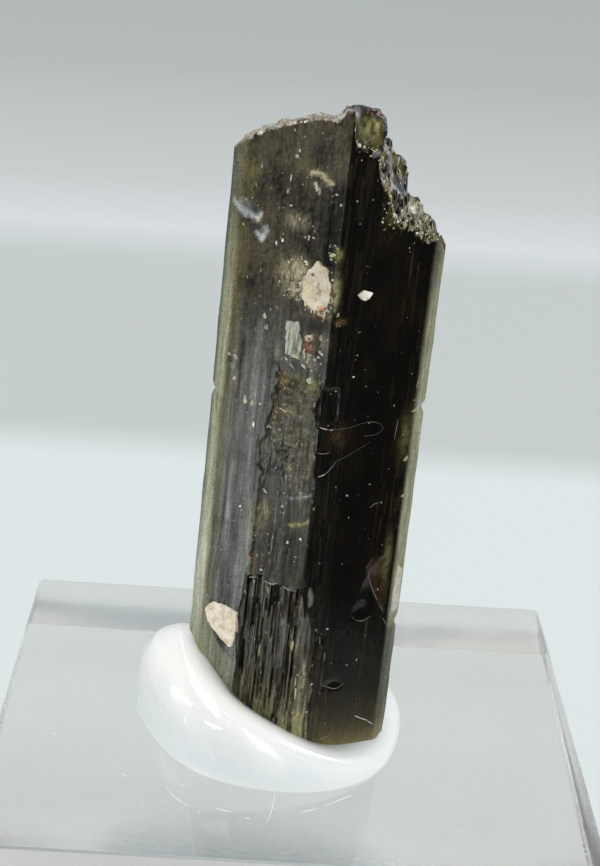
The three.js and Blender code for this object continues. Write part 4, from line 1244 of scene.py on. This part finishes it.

# Fine threads: pale threads along the crystal's edges as painted highlights, scratches on it, and stray
# fibres that lie on it and on the block
threads = {
    # painted highlights: pale threads where light catches the crystal's edges
    "painted_edge_highlights": {
        "radius": 0.024, "slot": "white_calcite", "colour": (0.42, 0.41, 0.37),
        "taper": True,
        "left": [
            [(0.0, 21.7), (-0.12, 21.5), (-0.02, 21.3)], [(-0.21, 20.7), (-0.32, 20.2)],
            [(-2.61, 10.31), (-2.41, 10.37), (-2.15, 10.34)],
            [
                (-1.94, 10.23), (-1.73, 10.34), (-1.46, 10.27), (-1.27, 10.4), (-1.0, 10.32), (-0.75, 10.36),
                (-0.52, 10.24),
            ],
            [(-3.0, 9.5), (-2.85, 9.3)], [(-0.4, 15.4), (-0.2, 15.5), (-0.02, 15.6)],
        ],
        "right": [[(0.08, 19.3), (0.3, 19.2), (0.5, 19.15)], [(0.27, 16.66), (0.45, 16.7), (0.62, 16.75)]],
    },
    "pale_scratches": {
        "radius": 0.014, "slot": "white_calcite", "colour": (0.19, 0.19, 0.18),
        "taper": True,
        "right": [
            [(3.16, 14.67), (3.35, 14.87), (3.56, 14.9)], [(4.55, 8.33), (4.7, 8.1), (4.85, 7.8)],
            [(4.06, 19.4), (4.0, 18.3)], [(1.62, 1.55), (2.1, 1.58), (2.5, 1.74)],
            [(2.91, 8.6), (3.16, 8.31), (3.6, 8.25), (3.95, 8.5)],
            [(1.69, 4.85), (2.04, 4.57), (2.59, 4.42), (2.93, 4.75)],
            [(3.39, 11.35), (3.68, 10.3), (4.16, 9.38), (4.55, 8.7)], [(0.4, 9.3), (0.62, 9.45), (0.8, 9.8)],
            [(0.27, 16.66), (0.62, 16.75), (0.93, 17.1), (1.1, 17.4)],
            [(0.08, 17.96), (0.4, 17.85), (0.74, 17.92)], [(0.3, 19.2), (0.6, 19.12), (0.81, 19.12)],
        ],
    },
    "bright_scratch": {
        "radius": 0.018, "slot": "white_calcite", "colour": (0.6, 0.6, 0.57),
        "right": [[(3.76, 2.65), (4.11, 2.44), (4.46, 2.26)], [(4.5, 2.2), (4.76, 2.02)]],
    },
    "lint": {
        "radius": 0.009, "slot": "white_tack", "colour": (0.065, 0.065, 0.06),
        "right": [
            [
                (0.71, 19.12), (1.52, 19.1), (2.11, 19.32), (2.71, 19.4), (3.14, 19.26), (3.38, 19.0),
                (3.2, 18.76), (2.86, 18.62), (2.39, 18.66),
            ],
            [(1.1, 17.4), (1.6, 17.62), (2.16, 17.93), (2.72, 18.3)],
        ],
    },
    "block_fibres": {
        "radius": 0.022, "slot": "white_tack", "colour": (0.8, 0.8, 0.78),
        "taper": True,
        "onBlock": [
            [(-0.71, -9.36), (-0.81, -10.28), (-0.85, -11.08), (-1.09, -12.17)],
            [(-8.8, -8.15), (-8.45, -8.45), (-8.35, -8.53)],
            [(-6.39, -9.12), (-5.98, -10.08), (-5.6, -10.6), (-5.01, -11.07)],
            [(-3.74, -11.11), (-3.3, -11.3), (-2.87, -11.41)], [(1.86, -10.27), (2.6, -9.6), (3.28, -8.99)],
            [(0.57, -11.01), (1.1, -10.8), (1.5, -10.55)], [(-12.75, -4.35), (-12.6, -4.42), (-12.5, -4.52)],
            [(-7.42, -11.0), (-7.36, -11.08)], [(-10.95, -9.7), (-10.88, -9.8)],
            [(-5.6, -9.05), (-5.35, -9.0)], [(-4.6, -11.6), (-4.45, -11.62)],
            [(-2.2, -11.9), (-1.95, -11.95)],
        ],
    },
}

def addThread(name, radius, line, taper):
    deselect()
    bpy.ops.curve.primitive_nurbs_path_add()
    thread = added(name)
    spline = thread.data.splines[0]
    count = max(len(line), 6)
    spline.points.add(count - len(spline.points))
    stations = np.linspace(0, len(line) - 1, count)
    points = [np.interp(stations, range(len(line)), [spot[axis] for spot in line]) for axis in range(3)]
    for index, (point, x, y, z) in enumerate(zip(spline.points, *points)):
        point.co = (x, y, z, 1)
        point.radius = 0.3 + 0.7 * math.sin(math.pi * index / (count - 1)) if taper else 1
    spline.use_endpoint_u = True
    spline.order_u = 3
    thread.data.bevel_depth = radius
    thread.data.bevel_resolution = 1
    thread.data.resolution_u = 6
    thread.data.use_fill_caps = True
    bpy.ops.object.convert(target="MESH")
    return bpy.context.active_object

def onFace(line, lift):
    return [(p, faceAt(p, h) - lift, h) for p, h in line]

def addThreads(name, look):
    radius = look["radius"]
    courses = [onFace(line, 0.4 * radius) for side in ("left", "right") for line in look.get(side, [])]
    courses += [[(x, y, 0.2 * radius) for x, y in line] for line in look.get("onBlock", [])]
    piece = joined(name, [addThread(name, radius, course, look.get("taper")) for course in courses])
    smoothTo(piece, 60)
    if "onBlock" in look:
        settle(piece, (0, 0, crystal["foot"][2]))
    else:
        settle(piece, crystal["foot"], crystal["lean"])
    return piece

for name, look in threads.items():
    material, tree, shader = newMaterial(name + "_finish")
    worn = spread(tree, noise(tree, placed(tree), 3, 2), 0.3, 0.7, 0.2, 0.5)
    dress(tree, shader, {"Base Color": (*look["colour"], 1), "Roughness": worn})
    finishPiece(addThreads(name, look), look["slot"], material=material)

# The mineral tack
tack = {
    "centre": (-1.3, -2.2),
    "reach": [7.35, 8.9, 9.25, 9.0, 6.75, 6.35, 6.85, 7.4],
    "rim": [1.9, 2.2, 2.95, 3.9, 9.3, 10.2, 6.2, 2.4],
    "inside": [0.65, 2.2, 3.45, 3.8, 4.9, 2.15, 1.3, 0.35],
    "sideRounding": 0.66,
    "topRounding": [1.0, 0.8, 0.75, 0.72, 0.85, 1.15, 1.15, 1.1],
    "spokes": 144,
    "rings": 120,
    "shaded": (10.6, 15.0),
    "shadedColour": (0.58, 0.62, 0.65),
    "litColour": (0.87, 0.85, 0.815),
}

def aroundTack(values, azimuth):
    # a value that runs smoothly round the tack through its eight azimuths
    count = len(values)
    total = np.zeros(np.shape(azimuth))
    for i, value in enumerate(values):
        turn = azimuth - 2 * math.pi * i / count
        weight = (1 + np.cos(count / 2 * turn)) / count
        for wave in range(1, count // 2):
            weight = weight + 2 / count * np.cos(wave * turn)
        total = total + value * weight
    return total

def addTack():
    deselect()
    bpy.ops.mesh.primitive_uv_sphere_add(segments=tack["spokes"], ring_count=tack["rings"], radius=1)
    lump = added("tack")
    bpy.ops.object.mode_set(mode="EDIT")
    bpy.ops.mesh.select_all(action="SELECT")
    bpy.ops.mesh.bisect(plane_co=(0, 0, 0), plane_no=(0, 0, 1), clear_inner=True, use_fill=True)
    bpy.ops.object.mode_set(mode="OBJECT")
    points = readPoints(lump)
    rise = np.arcsin(np.clip(points[:, 2], 0, 1))
    azimuth = np.arctan2(points[:, 1], points[:, 0])
    share = np.cos(rise) ** tack["sideRounding"]
    up = np.where(points[:, 2] < 1e-5, 0, np.sin(rise) ** aroundTack(tack["topRounding"], azimuth))
    reach = aroundTack(tack["reach"], azimuth) * share
    inner = aroundTack(tack["inside"], azimuth)
    height = inner + (aroundTack(tack["rim"], azimuth) - inner) * share**2
    x = reach * np.cos(azimuth) + tack["centre"][0]
    y = reach * np.sin(azimuth) + tack["centre"][1]
    dimples = 0.05 * (softNoise(x / 2.3, y / 2.3, 201) - 0.5) * step(up, 0.1, 0.5)
    writePoints(lump, np.column_stack([x, y, up * height + dimples + crystal["foot"][2]]))
    outwardNormals(lump)
    smoothTo(lump, 60)
    settle(lump)
    return lump

def tackMaterial():
    material, tree, shader = newMaterial("white_tack")
    where = placed(tree)
    cloud = spread(tree, noise(tree, where, 0.35, 3, 0.5), 0.3, 0.7, -0.35, 0.35)
    height = sums(tree, "ADD", axes(tree, where)["Z"], cloud)
    # painted light and shade: the tack is painted darker and bluer low down and lighter and warmer towards
    # its top
    lit = spread(tree, height, *tack["shaded"])
    dress(tree, shader, {
        "Base Color": mixed(tree, lit, tack["shadedColour"], tack["litColour"]),
        "Subsurface Weight": 1,
        "Subsurface Radius": (1.0, 1.0, 1.0),
        "Subsurface Scale": 4 * mm,
        "Roughness": spread(tree, noise(tree, where, 1.2, 3), 0.3, 0.7, 0.08, 0.16),
        "IOR": 1.5,
        "Specular IOR Level": 0.2,
        "Coat Weight": 1,
        "Coat Roughness": 0.03,
        "Normal": bumped(tree, noise(tree, where, 0.7, 2), 0.1, 0.2),
    })
    return material

finishPiece(addTack(), "white_tack", "mineral_tack", material=tackMaterial())

# The clear block
block = {
    "side": 31.75,
    "height": 10.2,
    "chamfer": 0.3,
    "tints": ((0.83, 0.815, 0.795), (0.86, 0.85, 0.835)),
    "ior": 1.49,
    "sawnRoughness": 0.15,
}

def addBlock():
    deselect()
    bpy.ops.mesh.primitive_cube_add(size=1, location=(0, 0, 0.5))
    slab = added("block")
    slab.location = (0, 0, 0)
    points = readPoints(slab)
    points[:, 2] += 0.5
    writePoints(slab, points * (block["side"], block["side"], block["height"]))
    useModifier(slab, "BEVEL", width=block["chamfer"], segments=3, limit_method="ANGLE")
    smoothTo(slab, 20)
    settle(slab)
    slab.visible_diffuse = slab.visible_shadow = False  # clear, so light goes through it to the mat and back
    return slab

def blockMaterial():
    material, tree, shader = newMaterial("clear_acrylic")
    where = placed(tree)
    parts = axes(tree, where)
    edge = block["side"] / 2
    toSide = sums(tree, "ABSOLUTE", parts["X"])
    across = sums(tree, "MAXIMUM", toSide, sums(tree, "ABSOLUTE", parts["Y"]))
    # the sawn sides and underside are duller than the polished top
    sides = spread(tree, across, edge - block["chamfer"], edge - 0.02)
    sawn = sums(tree, "MAXIMUM", sides, spread(tree, parts["Z"], 0.06, 0.03))
    smear = spread(tree, noise(tree, where, 2.5, 3), 0.45, 0.75, 0.0, 0.03)
    haze = spread(tree, noise(tree, where, 0.1, 2, 0.5, 0.5), 0.35, 0.65)
    # saw marks run along the two sides
    ends = spread(tree, toSide, edge - block["chamfer"], edge)
    teeth = sums(tree, "MULTIPLY", noise(tree, placed(tree, unit=(1, 1, 9)), 2.6, 3), ends)
    normal = bumped(tree, teeth, 0.5, 0.12)
    dress(tree, shader, {
        "Base Color": mixed(tree, haze, *block["tints"]),
        "Transmission Weight": 1,
        "IOR": block["ior"],
        "Roughness": sums(tree, "MULTIPLY_ADD", sawn, block["sawnRoughness"], smear),
        "Normal": bumped(tree, noise(tree, where, 0.8, 2), 0.02, 0.1, normal),
    })
    return material

finishPiece(addBlock(), "clear_acrylic", "acrylic_base", material=blockMaterial())

# Floor, light and surroundings
studio = {
    "size": 4,
    "floorGap": 0.02,
    "aim": (0, 0, 14),
    # the floor's tone by its place from front to back: the tones before 6 mm are a painted shade under and
    # before the block's front
    "tones": [
        (-60, (0.6, 0.595, 0.52)), (-16, (0.67, 0.69, 0.64)), (6, (0.708, 0.775, 0.775)),
        (66, (0.708, 0.775, 0.775)), (74, (0.54, 0.59, 0.584)), (135, (0.54, 0.59, 0.584)),
        (152, (0.67, 0.71, 0.73)), (180, (0.56, 0.595, 0.595)), (280, (0.44, 0.475, 0.465)),
        (400, (0.415, 0.45, 0.44)),
    ],
    "ownLight": 0.8,
    "reflected": 0.17,
    "world": 0.68,
    "worldTint": (0.96, 0.99, 1.0),
    "felt": (0.012, 0.012, 0.012),
    "cards": [
        {"name": "right_card", "place": (27.8, -22.8, 28), "turn": (90, 0, 57.4), "size": (70, 58)},
        {"name": "left_card", "place": (-66, -52, 18), "turn": (90, 0, -54.6), "size": (110, 37)},
    ],
    # name: place, size, radiance and, where they differ, roll and tint
    "softboxes": {
        "left_softbox": ((-260, -150, 170), (220, 180), 3.6),
        "front_softbox": ((60, -420, 240), (320, 200), 2.3),
        "right_softbox": ((280, -40, 120), (200, 160), 5.6, 0, (1, 0.97, 0.92)),
    },
    # these are seen only as highlights
    "strips": {
        "upper_strip": ((-170, 60, 170), (190, 36), 1.9),
        "left_glint": ((-35, -4, 9.5), (19, 0.7), 60.0, 21),
        "low_glint": ((-36, -32, 14.7), (16, 0.7), 60.0, 27),
        "front_glint": ((72, 20, 104), (84, 4), 50.0, -29),
        "small_spot": ((-120, -220, 230), (16, 16), 60.0),
    },
}

def addFloor():
    # a lit pale mat under the block, painted darker and warmer under the block's front as painted shade, with
    # its soft far edge and the greyer ground behind it
    deselect()
    bpy.ops.mesh.primitive_plane_add(size=studio["size"], location=(0, 0, -studio["floorGap"] * mm))
    floor = added("floor")
    material, tree, shader = newMaterial("pale_floor")
    ramp = put(tree, "ValToRGB")
    near, far = studio["tones"][0][0], studio["tones"][-1][0]
    feed(tree, ramp.inputs[0], spread(tree, axes(tree, placed(tree))["Y"], near, far))
    while len(ramp.color_ramp.elements) < len(studio["tones"]):
        ramp.color_ramp.elements.new(0.5)
    for element, (place, tone) in zip(ramp.color_ramp.elements, studio["tones"]):
        element.position = (place - near) / (far - near)
        element.color = (*tone, 1)
    dress(tree, shader, {
        "Base Color": scaled(tree, ramp.outputs[0], studio["reflected"]),
        "Emission Color": ramp.outputs[0],
        "Emission Strength": studio["ownLight"],
        "Roughness": 0.7,
    })
    floor.data.materials.append(material)

def addCard(card):
    # a black card beside the camera, seen only in reflections, keeps one of the crystal's faces dark
    deselect()
    place, turn = [value * mm for value in card["place"]], [math.radians(a) for a in card["turn"]]
    bpy.ops.mesh.primitive_plane_add(size=1, location=place, rotation=turn)
    piece = added(card["name"])
    piece.scale = (card["size"][0] * mm, card["size"][1] * mm, 1)
    material, tree, shader = newMaterial("black_felt")
    dress(tree, shader, {"Base Color": (*studio["felt"], 1), "Roughness": 1})
    piece.data.materials.append(material)
    piece.visible_camera = piece.visible_diffuse = piece.visible_transmission = piece.visible_shadow = False

def addLamp(name, place, size, radiance, roll=0, tint=(1, 1, 1)):
    deselect()
    place = Vector(place)
    aim = (place - Vector(studio["aim"])).to_track_quat("Z", "Y")
    aim = aim @ Quaternion((0, 0, 1), math.radians(roll))
    bpy.ops.object.light_add(type="AREA", location=place * mm, rotation=aim.to_euler())
    piece = bpy.context.active_object
    piece.name = name
    piece.data.shape = "RECTANGLE"
    piece.data.size, piece.data.size_y = size[0] * mm, size[1] * mm
    piece.data.energy = radiance * math.pi * piece.data.size * piece.data.size_y
    piece.data.color = tint
    piece.visible_transmission = False
    return piece

def addWorld():
    world = bpy.data.worlds.new("soft_room")
    world.use_nodes = True
    background = world.node_tree.nodes["Background"]
    background.inputs["Color"].default_value = (*studio["worldTint"], 1)
    background.inputs["Strength"].default_value = studio["world"]
    bpy.context.scene.world = world

addFloor()
for card in studio["cards"]:
    addCard(card)
for name, settings in studio["softboxes"].items():
    addLamp(name, *settings)
for name, settings in studio["strips"].items():
    strip = addLamp(name, *settings)
    strip.visible_diffuse = strip.visible_camera = False
addWorld()
bpy.context.scene.view_settings.view_transform = "Standard"
print("studio set")
